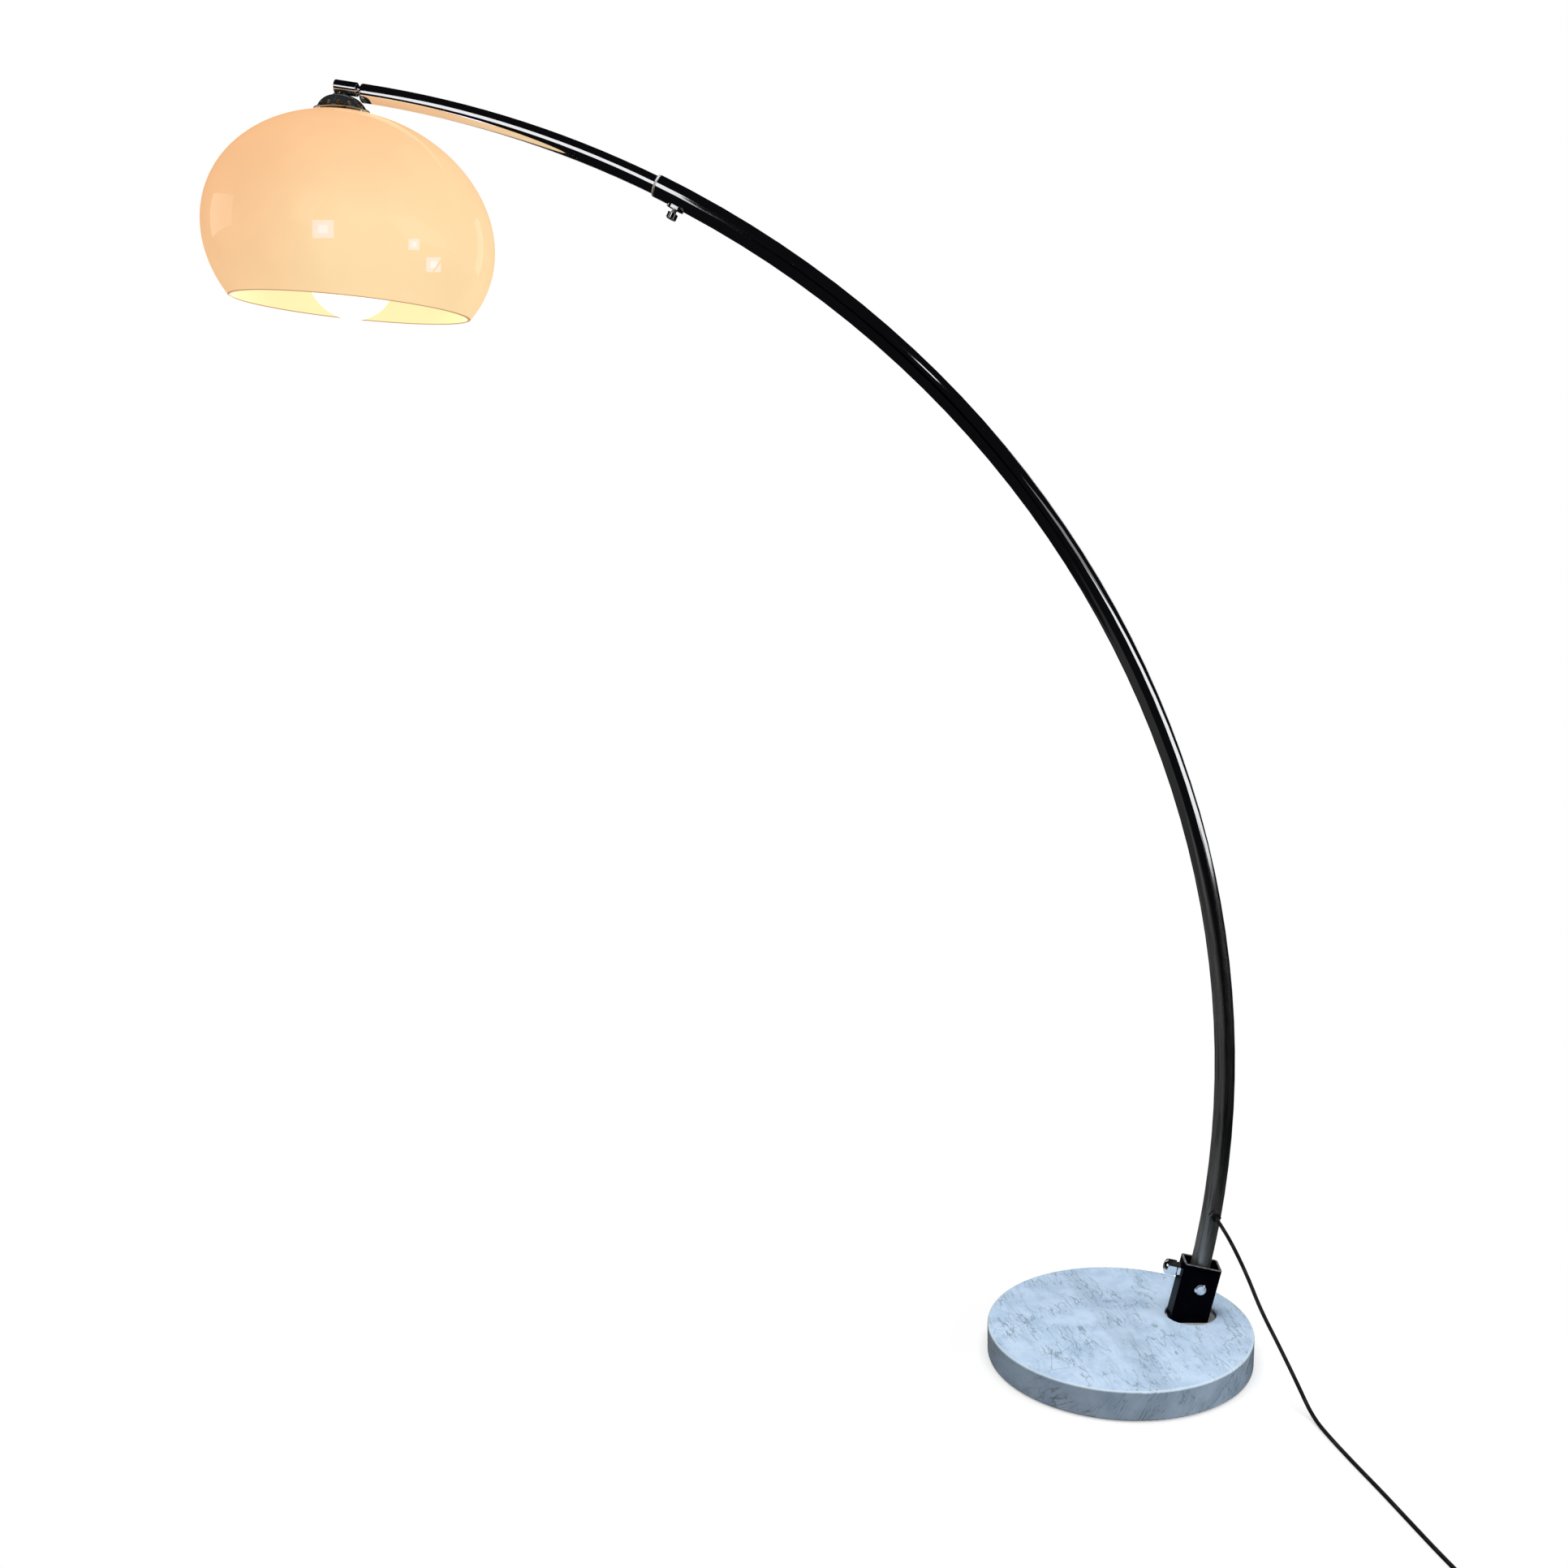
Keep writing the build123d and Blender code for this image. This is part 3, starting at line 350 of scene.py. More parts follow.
def marble_finish():
    """Polished blue-white marble: mottle, broken hairlines one way, soft streaks, cracks and flecks, and
    a painted highlight along the top arris.
    """
    look = Finish("polished_marble", IOR=1.5)
    sway = look.times(look.math("SUBTRACT", look.noise(13.0, detail=4.0), 0.5), 0.016)
    step = look.math("ADD", look.dot(VEINS_STEP), sway)
    run = look.dot(VEINS_RUN)
    sink = look.dot(VEINS_SINK)

    def drawn(wide, long):
        return look.join(look.times(step, wide), look.times(run, long), look.times(sink, long))

    cluster = look.near(step, VEIN_CLUSTER, 0.002, 0.022)
    hair = look.ridge(look.noise(1.0, drawn(210.0, 22.0), 3.0, 0.5), 0.026)
    broken = look.span(look.noise(20.0, detail=3.0), 0.39, 0.56)
    packed = look.times(cluster, look.span(look.noise(60.0, detail=2.0), 0.42, 0.5))
    more = look.math("MAXIMUM", broken, packed)
    hair = look.times(hair, more)
    streak = look.span(look.noise(1.0, drawn(55.0, 8.0), 5.0, 0.6), 0.5, 0.68)
    line = look.ridge(look.noise(1.0, drawn(42.0, 9.0), 4.0, 0.5), 0.013)
    line = look.times(line, look.span(look.noise(20.0, detail=2.0), 0.41, 0.52))
    left = look.span(look.axes()[0], -0.09, -0.03, 1.0, 0.0)
    crack = look.span(look.cells(30.0, drawn(1.2, 0.8), "DISTANCE_TO_EDGE"), 0.004, 0.016, 1.0, 0.0)
    crack = look.times(crack, left, look.span(look.noise(16.0, detail=2.0), 0.48, 0.56))
    fleck = look.span(look.cells(150.0), 0.08, 0.16, 1.0, 0.0)
    fleck = look.times(fleck, look.span(look.noise(45.0, detail=1.0), 0.58, 0.64))
    mottle = look.span(look.noise(24.0, detail=6.0, roughness=0.65), 0.35, 0.7)
    colour = look.mix(look.times(mottle, 0.75), (0.57, 0.72, 0.90), (0.385, 0.53, 0.72))
    colour = look.mix(look.times(streak, 0.32), colour, (0.30, 0.41, 0.52))
    colour = look.mix(look.times(cluster, 0.22), colour, (0.27, 0.35, 0.43))
    colour = look.mix(look.times(line, 0.6), colour, (0.16, 0.2, 0.24))
    colour = look.mix(look.times(hair, 0.45), colour, (0.14, 0.185, 0.24))
    colour = look.mix(look.times(crack, 0.5), colour, (0.17, 0.2, 0.23))
    colour = look.mix(look.times(fleck, 0.5), colour, (0.12, 0.14, 0.16))
    # Painted highlight: a pale line along the top arris, standing in for light caught on the polished
    # edge.
    axes = look.axes()
    out = look.length(axes[0], axes[1])
    edge = look.times(look.near(axes[2], BASE_TOP, 0.0008, 0.003),
                      look.span(out, BASE_RADIUS - 0.003, BASE_RADIUS - 0.001))
    colour = look.mix(look.times(edge, 0.6), colour, (0.74, 0.84, 0.88))
    look.set(base_color=colour, roughness=look.span(mottle, 0.0, 1.0, 0.1, 0.2))
    look.bump(hair, 0.0002, 0.2)
    return look.material


def chrome_finish(name, foot_dull=0.0):
    """Old chrome plate with pits and drawn streaks; foot_dull greys it towards the base."""
    look = Finish(name, metallic=1.0)
    axes = look.axes()
    off_x = look.math("SUBTRACT", axes[0], BOW_CENTRE.x)
    off_z = look.math("SUBTRACT", axes[2], BOW_CENTRE.z)
    along = look.times(look.math("ARCTAN2", off_z, off_x), BOW_RADIUS)
    drawn = look.join(along, axes[1], look.length(off_x, off_z))
    streak = look.noise(1.0, look.stretch((7.0, 300.0, 300.0), place=drawn), 5.0, 0.6)
    pit = look.span(look.cells(300.0), 0.04, 0.12, 1.0, 0.0)
    pit = look.times(pit, look.span(look.noise(45.0), 0.6, 0.72))
    dull = look.times(look.span(axes[2], 0.34, 0.8, 1.0, 0.0), foot_dull)
    haze = look.times(dull, look.span(streak, 0.3, 0.7, 0.7, 1.0))
    scuff = look.noise(1.0, look.stretch((14.0, 260.0, 260.0), place=drawn), 4.0)
    scuff = look.times(dull, look.span(scuff, 0.5, 0.6))
    colour = look.mix(haze, (0.84, 0.85, 0.87), (0.36, 0.36, 0.35))
    colour = look.mix(look.times(scuff, 0.6), colour, (0.15, 0.155, 0.145))
    colour = look.mix(look.times(pit, 0.55), colour, (0.12, 0.11, 0.10))
    rough = look.span(streak, 0.3, 0.75, 0.03, 0.07)
    rough = look.math("ADD", rough, look.times(haze, 0.36))
    rough = look.math("ADD", rough, look.times(pit, 0.3), clamp=True)
    bare = look.times(look.span(axes[2], 0.1, 0.34, 1.0, 0.0), foot_dull)
    look.set(base_color=colour, roughness=rough, metallic=look.span(bare, 0.0, 1.0, 1.0, 0.85))
    look.bump(pit, 0.0002, 0.3)
    return look.material


def enamel_finish(name, colour, shine):
    """Stoved enamel with a faint orange peel and dust."""
    look = Finish(name, IOR=1.5, coat_weight=0.6, coat_roughness=0.05)
    dust = look.span(look.noise(900.0, detail=2.0), 0.66, 0.74)
    worn = look.span(look.noise(35.0, detail=6.0), 0.4, 0.7)
    pale = tuple(min(1.0, 2.2 * part + 0.01) for part in colour)
    base = look.mix(look.times(worn, 0.3), colour, pale)
    base = look.mix(look.times(dust, 0.25), base, (0.25, 0.25, 0.25))
    look.set(base_color=base, roughness=look.span(worn, 0.0, 1.0, shine, shine + 0.12))
    look.bump(look.noise(420.0, detail=2.0), 0.00005, 0.35)
    return look.material


def socket_finish():
    """Black enamel with a painted highlight: a grey line round the top of the socket's mouth, broken up
    by noise.
    """
    look = Finish("socket_enamel", IOR=1.45, specular_IOR_level=0.012)
    # Painted highlight: the walls' top edge turns grey, standing in for light caught on the rim of the
    # mouth.
    up = look.math("SUBTRACT", look.dot(SOCKET_UP), PIVOT.dot(SOCKET_UP))
    wear_and_rim_highlight = look.span(up, SOCKET_RISE - 0.0012, SOCKET_RISE - 0.0004)
    wear_and_rim_highlight = look.times(wear_and_rim_highlight, look.span(look.noise(90.0, detail=4.0), 0.32, 0.55, 0.35, 1.0))
    worn = look.span(look.noise(35.0, detail=6.0), 0.45, 0.75)
    base = look.mix(look.times(worn, 0.4), (0.0012, 0.0012, 0.003), (0.004, 0.0045, 0.006))
    look.set(base_color=look.mix(look.times(wear_and_rim_highlight, 0.85), base, (0.2, 0.205, 0.21)),
             roughness=look.span(worn, 0.0, 1.0, 0.2, 0.34))
    look.bump(look.noise(420.0, detail=2.0), 0.00005, 0.3)
    return look.material


def plastic_finish(name, colour, shine, grain):
    """Moulded plastic with a fine grain and lighter worn patches."""
    look = Finish(name, IOR=1.48)
    wear_and_rim_highlight = look.span(look.noise(60.0, detail=5.0), 0.45, 0.75)
    pale = tuple(min(1.0, 1.6 * part + 0.01) for part in colour)
    look.set(base_color=look.mix(wear_and_rim_highlight, colour, pale),
             roughness=look.span(wear_and_rim_highlight, 0.0, 1.0, shine, shine + 0.15))
    look.bump(look.noise(grain, detail=3.0), 0.0001, 0.3)
    return look.material


def steel_finish():
    """Turned steel with fine rings about the foot and a little grey oxide."""
    look = Finish("turned_steel", metallic=0.5)
    axes = look.axes()
    off_x = look.math("SUBTRACT", axes[0], FOOT.x)
    off_y = look.math("SUBTRACT", axes[1], FOOT.y)
    turned = look.noise(1500.0, look.join(look.length(off_x, off_y), axes[2], 0.0), 3.0)
    oxide = look.span(look.noise(90.0, detail=6.0), 0.5, 0.75)
    look.set(base_color=look.mix(look.times(oxide, 0.6), (0.78, 0.79, 0.8), (0.4, 0.39, 0.38)),
             roughness=look.span(turned, 0.3, 0.7, 0.18, 0.38))
    look.bump(turned, 0.00006, 0.4)
    return look.material


def brass_finish():
    look = Finish("old_brass", metallic=1.0)
    tarnish = look.span(look.noise(160.0, detail=6.0), 0.45, 0.7)
    look.set(base_color=look.mix(tarnish, (0.72, 0.55, 0.26), (0.34, 0.24, 0.11)),
             roughness=look.span(tarnish, 0.0, 1.0, 0.18, 0.42))
    return look.material


def felt_finish():
    look = Finish("grey_felt", roughness=0.95, sheen_weight=0.4)
    fibre = look.noise(700.0, look.stretch((1.0, 1.0, 0.3)), 5.0, 0.7, 1.5)
    look.set(base_color=look.mix(fibre, (0.035, 0.035, 0.04), (0.12, 0.12, 0.125)))
    look.bump(fibre, 0.0004, 0.6)
    return look.material


# Painted light of the bulb: the shade's glow grows paler along this way, and close to the bulb
GLOW_WAY = (0.6, 0.0, -0.8)
GLOW_MIDDLE = SHADE_CENTRE.dot(Vector(GLOW_WAY))
GLOW_REACH = 0.17
BULB_GLOW = (-0.873, -0.114, 1.401)
BULB_GLOW_REACH = 0.12
BULB_NECK_LOW = 1.395
BULB_NECK_HIGH = 1.45


def acrylic_finish(name, colour, glow_start, glow_end, shine):
    """Lit acrylic: a soft gloss, and a painted glow of the bulb's light that changes from the crown's
    left to the rim's right.
    """
    look = Finish(name, IOR=1.49, roughness=shine, specular_IOR_level=0.2)
    level = look.span(look.dot(GLOW_WAY), GLOW_MIDDLE - GLOW_REACH, GLOW_MIDDLE + GLOW_REACH)
    # Painted light: the glow grows brighter close to the bulb.
    painted_bulb_glow = look.span(look.away(BULB_GLOW), 0.0, BULB_GLOW_REACH, 0.35, 0.0)
    level = look.math("ADD", level, painted_bulb_glow, clamp=True)
    cloud = look.span(look.noise(11.0, detail=2.0), 0.3, 0.7, 0.975, 1.025)
    swirl = look.noise(26.0, look.stretch((1.0, 1.0, 0.35)), 2.0)
    look.set(base_color=look.mix(swirl, colour, tuple(part * 0.95 for part in colour)),
             emission_color=look.mix(level, glow_start, glow_end), emission_strength=cloud)
    look.bump(look.noise(14.0, detail=1.0), 0.0002, 0.1)
    return look.material


def bulb_finish():
    """Opal glass, lit from inside and a little darker at the neck."""
    look = Finish("opal_glass", IOR=1.5, roughness=0.1)
    neck = look.span(look.axes()[2], BULB_NECK_LOW, BULB_NECK_HIGH)
    mottle = look.span(look.noise(70.0, detail=3.0), 0.3, 0.7, 0.98, 1.02)
    look.set(base_color=look.mix(neck, (0.95, 0.95, 0.93), (0.9, 0.86, 0.74)),
             emission_color=look.mix(neck, (1.0, 1.0, 0.98), (1.0, 0.93, 0.7)),
             emission_strength=mottle)
    return look.material


FINISHES = {
    "marble": marble_finish(),
    "felt": felt_finish(),
    "steel": steel_finish(),
    "black_enamel": socket_finish(),
    "cap_enamel": enamel_finish("cap_enamel", (0.012, 0.014, 0.014), 0.16),
    "chrome": chrome_finish("chrome_fittings"),
    "nylon": plastic_finish("nylon", (0.75, 0.74, 0.7), 0.35, 500.0),
    "black_plastic": plastic_finish("black_plastic", (0.012, 0.012, 0.013), 0.28, 700.0),
    "cord_sheath": plastic_finish("lead_sheath", (0.008, 0.008, 0.008), 0.3, 600.0),
    "tie": plastic_finish("tie_strap", (0.02, 0.02, 0.02), 0.55, 900.0),
    "brass": brass_finish(),
    "opal_glass": bulb_finish(),
}
TUBE_CHROME = chrome_finish("tube_chrome", 1.0)
TUBES = ("outer_tube", "inner_tube")
PEACH = (0.06, 0.036, 0.018)
CREAM = (0.08, 0.075, 0.04)
# The shade's glow is painted light of the bulb: outside it runs from peach to paler, and inside it is
# paler and yellower, where the bulb shines on it.
OUTSIDE = acrylic_finish("acrylic_outside", PEACH, (0.88, 0.488, 0.248), (0.97, 0.715, 0.4), 0.04)
INSIDE = acrylic_finish("acrylic_inside", CREAM, (0.96, 0.86, 0.465), (0.96, 0.83, 0.435), 0.2)
# The lip glows dimmer and darker: painted shade on the lip's face.
SHADED_LIP = acrylic_finish("acrylic_lip_painted_shade", PEACH, (0.52, 0.29, 0.135), (0.58, 0.34, 0.17), 0.15)


def paint(piece, *materials):
    """Gives a piece its materials; a new mesh has none to clear, and keeps the numbers on its faces."""
    if piece.data.materials:
        piece.data.materials.clear()
    for material in materials:
        piece.data.materials.append(material)


def paint_nodes():
    """Each CAD node takes the finish of its slot; the tubes have one of their own, the guide sleeve
    takes the turned steel, and a slot without a finish takes the shade's outside.
    """
    for entry in frame["record"]["subparts"]:
        node = entry["node"]
        slot = entry["material_slot"]
        if node in TUBES:
            paint(NODES[node], TUBE_CHROME)
        elif node == "guide_sleeve":
            paint(NODES[node], FINISHES["steel"])
        elif slot in FINISHES:
            paint(NODES[node], FINISHES[slot])
        else:
            paint(NODES[node], OUTSIDE)


paint_nodes()
paint(lead_upper, FINISHES["cord_sheath"])
paint(lead_lower, FINISHES["cord_sheath"])


def mesh_piece(name, mesh, body, slot, *materials):
    """Object of a finished bmesh that rides on a body."""
    data = bpy.data.meshes.new(name)
    mesh.to_mesh(data)
    mesh.free()
    piece = add_object(name, data)
    paint(piece, *materials)
    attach(piece, body)
    return piece


def turned_round(mesh, steps):
    """Spins a profile in the XZ plane once about Z and closes its seam."""
    bmesh.ops.spin(mesh, geom=mesh.verts[:] + mesh.edges[:], cent=(0, 0, 0), axis=(0, 0, 1),
                   angle=2 * math.pi, steps=steps, use_merge=True)
    bmesh.ops.remove_doubles(mesh, verts=mesh.verts[:], dist=1e-6)
    bmesh.ops.recalc_face_normals(mesh, faces=mesh.faces[:])


def axis_frame(start, way):
    """Matrix that takes Z to a direction and the origin to a start."""
    return Matrix.Translation(start) @ way.to_track_quat("Z", "Y").to_matrix().to_4x4()


OUTER_FACE, INNER_FACE, LIP_FACE = range(3)


def shade_shell():
    """The shade turned on its axis, with a wall, a flat lip with rounded edges and its own inside."""
    top = -math.acos(SHADE_HOLE_RADIUS / SHADE_RADIUS)
    rim = math.asin((SHADE_RIM_DROP + LIP_ROOM) / SHADE_HALF_HEIGHT)
    mesh = bmesh.new()
    start = mesh.verts.new((math.cos(top), 0, math.sin(top)))
    bmesh.ops.spin(mesh, geom=[start], cent=(0, 0, 0), axis=(0, -1, 0), angle=rim - top,
                   steps=SHADE_STEPS_DOWN)
    bmesh.ops.scale(mesh, vec=(SHADE_RADIUS, 1, SHADE_HALF_HEIGHT), verts=mesh.verts[:])
    turned_round(mesh, SHADE_STEPS_ROUND)
    bmesh.ops.solidify(mesh, geom=mesh.faces[:], thickness=SHADE_WALL)
    bmesh.ops.bisect_plane(mesh, geom=mesh.verts[:] + mesh.edges[:] + mesh.faces[:], dist=1e-7,
                           plane_co=(0, 0, SHADE_RIM_DROP), plane_no=(0, 0, 1), clear_outer=True)
    cut_edges = [edge for edge in mesh.edges if edge.is_boundary]
    bmesh.ops.bridge_loops(mesh, edges=cut_edges)
    bmesh.ops.bevel(mesh, geom=cut_edges, offset=LIP_ROUND, segments=4, profile=0.5, affect="EDGES",
                    material=-1)
    bmesh.ops.recalc_face_normals(mesh, faces=mesh.faces[:])
    middle = SHADE_RADIUS - SHADE_WALL / 2, SHADE_HALF_HEIGHT - SHADE_WALL / 2
    for face in mesh.faces:
        centre = face.calc_center_median()
        out = math.hypot(math.hypot(*centre.xy) / middle[0], centre.z / middle[1])
        if centre.z > SHADE_RIM_DROP - LIP_DEPTH:
            face.material_index = LIP_FACE
        else:
            face.material_index = OUTER_FACE if out > 1 else INNER_FACE
        face.smooth = True
    axes = Matrix((SHADE_ACROSS, SHADE_DOWN.cross(SHADE_ACROSS), SHADE_DOWN)).transposed().to_4x4()
    mesh.transform(Matrix.Translation(SHADE_CENTRE) @ axes)
    shell = mesh_piece("shade_shell", mesh, "head", "acrylic", OUTSIDE, INSIDE, SHADED_LIP)
    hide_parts("shade")


def rings(name, start, way, places, section, body, slot):
    """Round beads on an axis, each given by its distance along it and its radius."""
    mesh = bmesh.new()
    for place, radius in places:
        bead = bmesh.new()
        stands = Matrix.Translation((radius, 0, place)) @ Matrix.Rotation(math.pi / 2, 4, "X")
        bmesh.ops.create_circle(bead, cap_ends=False, segments=12, radius=section, matrix=stands)
        turned_round(bead, 64)
        for face in bead.faces:
            face.smooth = True
        data = bpy.data.meshes.new(name + "_bead")
        bead.to_mesh(data)
        bead.free()
        mesh.from_mesh(data)
        bpy.data.meshes.remove(data)
    mesh.transform(axis_frame(start, way))
    mesh_piece(name, mesh, body, slot, FINISHES[slot])


def small_pieces():
    """Threads of the two screws, the lampholder's outer thread and the ribs of the strain relief."""
    screw_bead = 0.00024
    holder_bead = 0.0009
    rib_bead = 0.0006
    tilt = [(place, 0.00494) for place in (0.0171, 0.0179, 0.0187)]
    rings("tilt_screw_thread", TILT_START, TILT_WAY, tilt, screw_bead, "tilt_screw", "chrome")
    clamp = [(0.0154 + 0.0008 * turn, 0.00298) for turn in range(5)]
    rings("clamp_screw_thread", CLAMP_START, CLAMP_WAY, clamp, screw_bead, "clamp_screw", "chrome")
    holder = [(0.112 + 0.0032 * turn, 0.0199) for turn in range(11)]
    rings("holder_thread", HANG_POINT, HANG_DOWN, holder, holder_bead, "head", "black_plastic")
    places = [0.0025 + 0.0035 * rib for rib in range(5)]
    ribs = [(place, RELIEF_TIP_RADIUS + RELIEF_GROWS * place / RELIEF_LENGTH) for place in places]
    rings("plug_ribs", PLUG_START, PLUG_WAY, ribs, rib_bead, "base", "black_plastic")


shade_shell()
small_pieces()


# The stage: a white floor and surroundings, two soft lights, and a dark room with windows that only
# reflections see, so that the chrome shows dark and pale bands
def stage_material(name, build):
    material = bpy.data.materials.new(name)
    material.use_nodes = True
    material.node_tree.nodes.clear()
    build(material.node_tree)
    return material


def direct_rays(tree):
    """1 for what the camera, a reflection or a clear body sees, and 0 for light falling on things."""
    path = tree.nodes.new("ShaderNodeLightPath")
    total = None
    for name in ("Is Camera Ray", "Is Glossy Ray", "Is Transmission Ray"):
        if total is None:
            total = path.outputs[name]
            continue
        most = tree.nodes.new("ShaderNodeMath")
        most.operation = "MAXIMUM"
        tree.links.new(total, most.inputs[0])
        tree.links.new(path.outputs[name], most.inputs[1])
        total = most.outputs[0]
    return total


def mixed(tree, share, first, second):
    made = tree.nodes.new("ShaderNodeMixShader")
    if isinstance(share, bpy.types.NodeSocket):
        tree.links.new(share, made.inputs[0])
    else:
        made.inputs[0].default_value = share
    tree.links.new(first, made.inputs[1])
    tree.links.new(second, made.inputs[2])
    return made.outputs[0]


def plain(tree, kind, colour, strength=None):
    made = tree.nodes.new(kind)
    made.inputs["Color"].default_value = (*colour, 1.0)
    if strength is not None:
        made.inputs["Strength"].default_value = strength
    return made.outputs[0]


def floor_look(tree):
    """White paper floor: it keeps half of each shadow near the lamp and throws little light back."""
    place = tree.nodes.new("ShaderNodeTexCoord")
    away = tree.nodes.new("ShaderNodeVectorMath")
    away.operation = "LENGTH"
    tree.links.new(place.outputs["Object"], away.inputs[0])
    share = tree.nodes.new("ShaderNodeMapRange")
    share.interpolation_type = "SMOOTHSTEP"
    tree.links.new(away.outputs["Value"], share.inputs["Value"])
    for name, setting in (("From Min", 0.2), ("From Max", 0.75), ("To Min", 0.5), ("To Max", 1.0)):
        share.inputs[name].default_value = setting
    paper = plain(tree, "ShaderNodeBsdfDiffuse", (0.97, 0.97, 0.97))
    white = plain(tree, "ShaderNodeEmission", (1, 1, 1), 1.0)
    seen = mixed(tree, share.outputs["Result"], paper, white)
    throws = plain(tree, "ShaderNodeBsdfDiffuse", (0.2, 0.2, 0.2))
    out = tree.nodes.new("ShaderNodeOutputMaterial")
    tree.links.new(mixed(tree, direct_rays(tree), throws, seen), out.inputs["Surface"])


def glow_look(colour, strength=1.0):
    def build(tree):
        out = tree.nodes.new("ShaderNodeOutputMaterial")
        tree.links.new(plain(tree, "ShaderNodeEmission", colour, strength), out.inputs["Surface"])
    return build


DARK = glow_look((0.004, 0.004, 0.005))
WHITE = glow_look((1, 1, 1))


def flat_card(name, centre, across, up, look):
    """Rectangle on the stage, given by its centre and its two half sides."""
    across = Vector(across)
    up = Vector(up)
    mesh = bmesh.new()
    bmesh.ops.create_grid(mesh, x_segments=1, y_segments=1, size=1.0)
    axes = Matrix((across, up, across.cross(up).normalized())).transposed().to_4x4()
    mesh.transform(Matrix.Translation(centre) @ axes)
    data = bpy.data.meshes.new(name)
    mesh.to_mesh(data)
    mesh.free()
    card = add_object(name, data)
    data.materials.append(stage_material(name, look))
    return card


def reflected_card(*settings):
    """Card that is seen in reflections only."""
    card = flat_card(*settings)
    card.visible_camera = False
    card.visible_diffuse = False
    card.visible_transmission = False
    card.visible_volume_scatter = False
    card.visible_shadow = False
    return card


def corner_card(name, corners, look):
    """Reflected card stretched between four corners: low left, low right, top left, top right."""
    card = reflected_card(name, (0, 0, 0), (1, 0, 0), (0, 1, 0), look)
    for vertex, corner in zip(card.data.vertices, corners):
        vertex.co = corner


MIDDLE_SHARE = 0.45


def softbox(name, centre, across, up, lit):
    """Daylight lamp face with a brighter middle, a pale square in the gloss of what lit holds."""
    centre, across, up = Vector(centre), Vector(across), Vector(up)
    shade_side = (SHADE_CENTRE - centre).normalized() * 0.01
    face = reflected_card(name, centre, across, up, glow_look((0.4, 0.45, 1.0), 16.0))
    middle = reflected_card(name + "_middle", centre + shade_side, MIDDLE_SHARE * across,
                            MIDDLE_SHARE * up, glow_look((0.4, 0.5, 1.0), 26.0))
    for card in (face, middle):
        card.light_linking.receiver_collection = lit


def soft_light(name, place, towards, size, power):
    data = bpy.data.lights.new(name, "AREA")
    data.shape = "SQUARE"
    data.size = size
    data.energy = power
    light = add_object(name, data)
    light.location = place
    light.rotation_euler = (Vector(towards) - Vector(place)).to_track_quat("-Z", "Y").to_euler()
    light.visible_glossy = False
    light.visible_camera = False


def make_stage():
    world = bpy.data.worlds.new("white_room")
    world.use_nodes = True
    tree = world.node_tree
    tree.nodes.clear()
    seen = plain(tree, "ShaderNodeBackground", (1, 1, 1), 1.0)
    falls = plain(tree, "ShaderNodeBackground", (1, 1, 1), 0.14)
    out = tree.nodes.new("ShaderNodeOutputWorld")
    tree.links.new(mixed(tree, direct_rays(tree), falls, seen), out.inputs["Surface"])
    bpy.context.scene.world = world
    flat_card("floor", (0, 0, 0), (40, 0, 0), (0, 40, 0), floor_look)
    soft_light("soft_overhead", (-0.3, -0.6, 4.0), (-0.3, 0.0, 0.0), 3.2, 178.0)
    soft_light("soft_right", (3.0, -1.2, 1.6), (0.0, 0.0, 0.3), 1.6, 34.0)
    make_room()


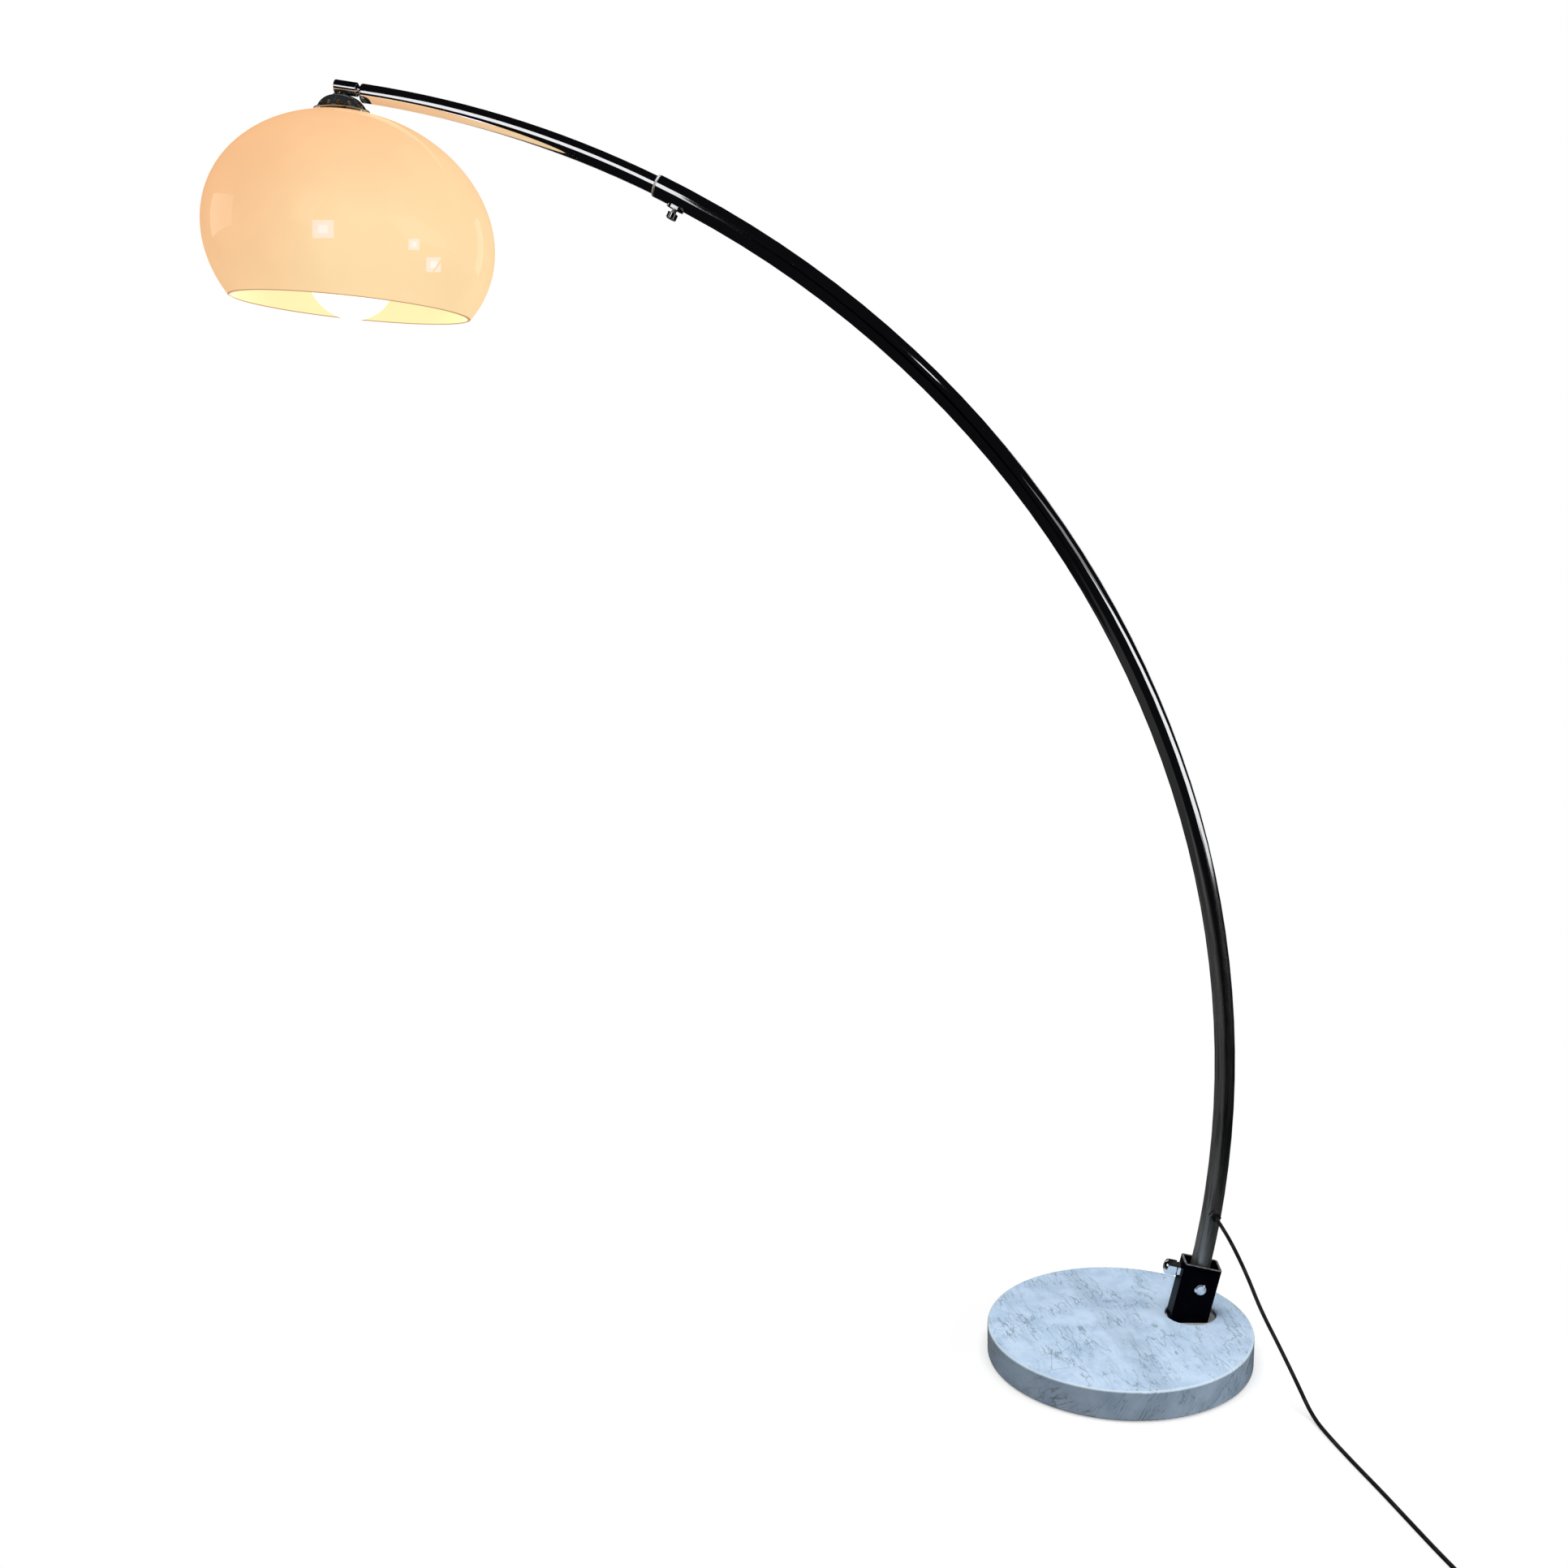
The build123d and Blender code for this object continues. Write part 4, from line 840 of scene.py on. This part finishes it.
def make_room():
    """Dark room that only reflections see, with white windows, and lamp faces for the shade."""
    for name, middle, across, up in (
            ("front_wall", (0.5, -4.2, 2.3), (7, 0, 0), (0, 0, 2.3)),
            ("back_wall", (0.5, 4.2, 2.3), (7, 0, 0), (0, 0, 2.3)),
            ("left_wall", (-6.5, 0, 2.3), (0, 4.2, 0), (0, 0, 2.3)),
            ("right_wall", (7.5, 0, 2.3), (0, 4.2, 0), (0, 0, 2.3)),
            ("ceiling", (0.5, 0, 4.6), (7, 0, 0), (0, 4.2, 0)),
            ("ground", (0.5, 0, 0.001), (7, 0, 0), (0, 4.2, 0))):
        reflected_card(name, middle, across, up, DARK)
    reflected_card("ground_middle", (-0.72, 0, 0.0015), (0.73, 0, 0), (0, 1.8, 0),
                   glow_look((0.03, 0.03, 0.03)))
    reflected_card("ground_near", (-0.52, -0.1, 0.002), (0.53, 0, 0), (0, 1.2, 0),
                   glow_look((0.12, 0.12, 0.115)))
    for name, middle, across, up in (
            ("left_window", (-1.798, -3.98, 2.449), (0.5625, 0, 1.116), (-0.580, 0, 0.2925)),
            ("strip_window", (0.97, -2.0, 2.86), (0.16, 0.159, 0.145), (-0.05, 0.0075, 0.047)),
            ("side_window", (-6.4, 0.6, 2.8), (0, 1.6, 0), (0, 0, 1.0)),
            ("back_window_left", (-2.6, 4.15, 1.9), (0.5, 0, 0), (0, 0, 1.3)),
            ("back_window_right", (2.4, 4.15, 1.9), (0.6, 0, 0), (0, 0, 1.3))):
        reflected_card(name, middle, across, up, WHITE)
    sill = ((3.32, -2.26, 0.62), (3.67, 1.72, 0.69))
    blind_foot = ((2.24, -2.99, 2.26), (3.38, -1.46, 2.46))
    blind_head = ((2.02, -2.85, 2.88), (3.05, -1.36, 3.12))
    corner_card("right_window", sill + blind_foot, WHITE)
    corner_card("right_blind", blind_foot + blind_head, glow_look((0.25, 0.25, 0.25)))
    reflected_card("blue_wall", (-1.15, -4.15, 1.33), (0.42, 0, -0.03), (0, 0, 0.12),
                   glow_look((0.025, 0.042, 0.056)))
    lit = bpy.data.collections.new("lit_by_softboxes")
    lit.objects.link(bpy.data.objects["shade_shell"])
    softbox("softbox_left", (-1.043, -3.81, 0.885), (0.549, -0.022, 0.003), (0.083, -0.089, 0.6), lit)
    softbox("softbox_right", (2.788, -1.435, 0.465), (0.136, 0.297, 0.087), (0.066, -0.075, 0.363), lit)
    softbox("softbox_low", (1.324, 0.043, 0.359), (0.0445, 0.263, 0.104), (0.1095, -0.1255, 0.2215), lit)


make_stage()
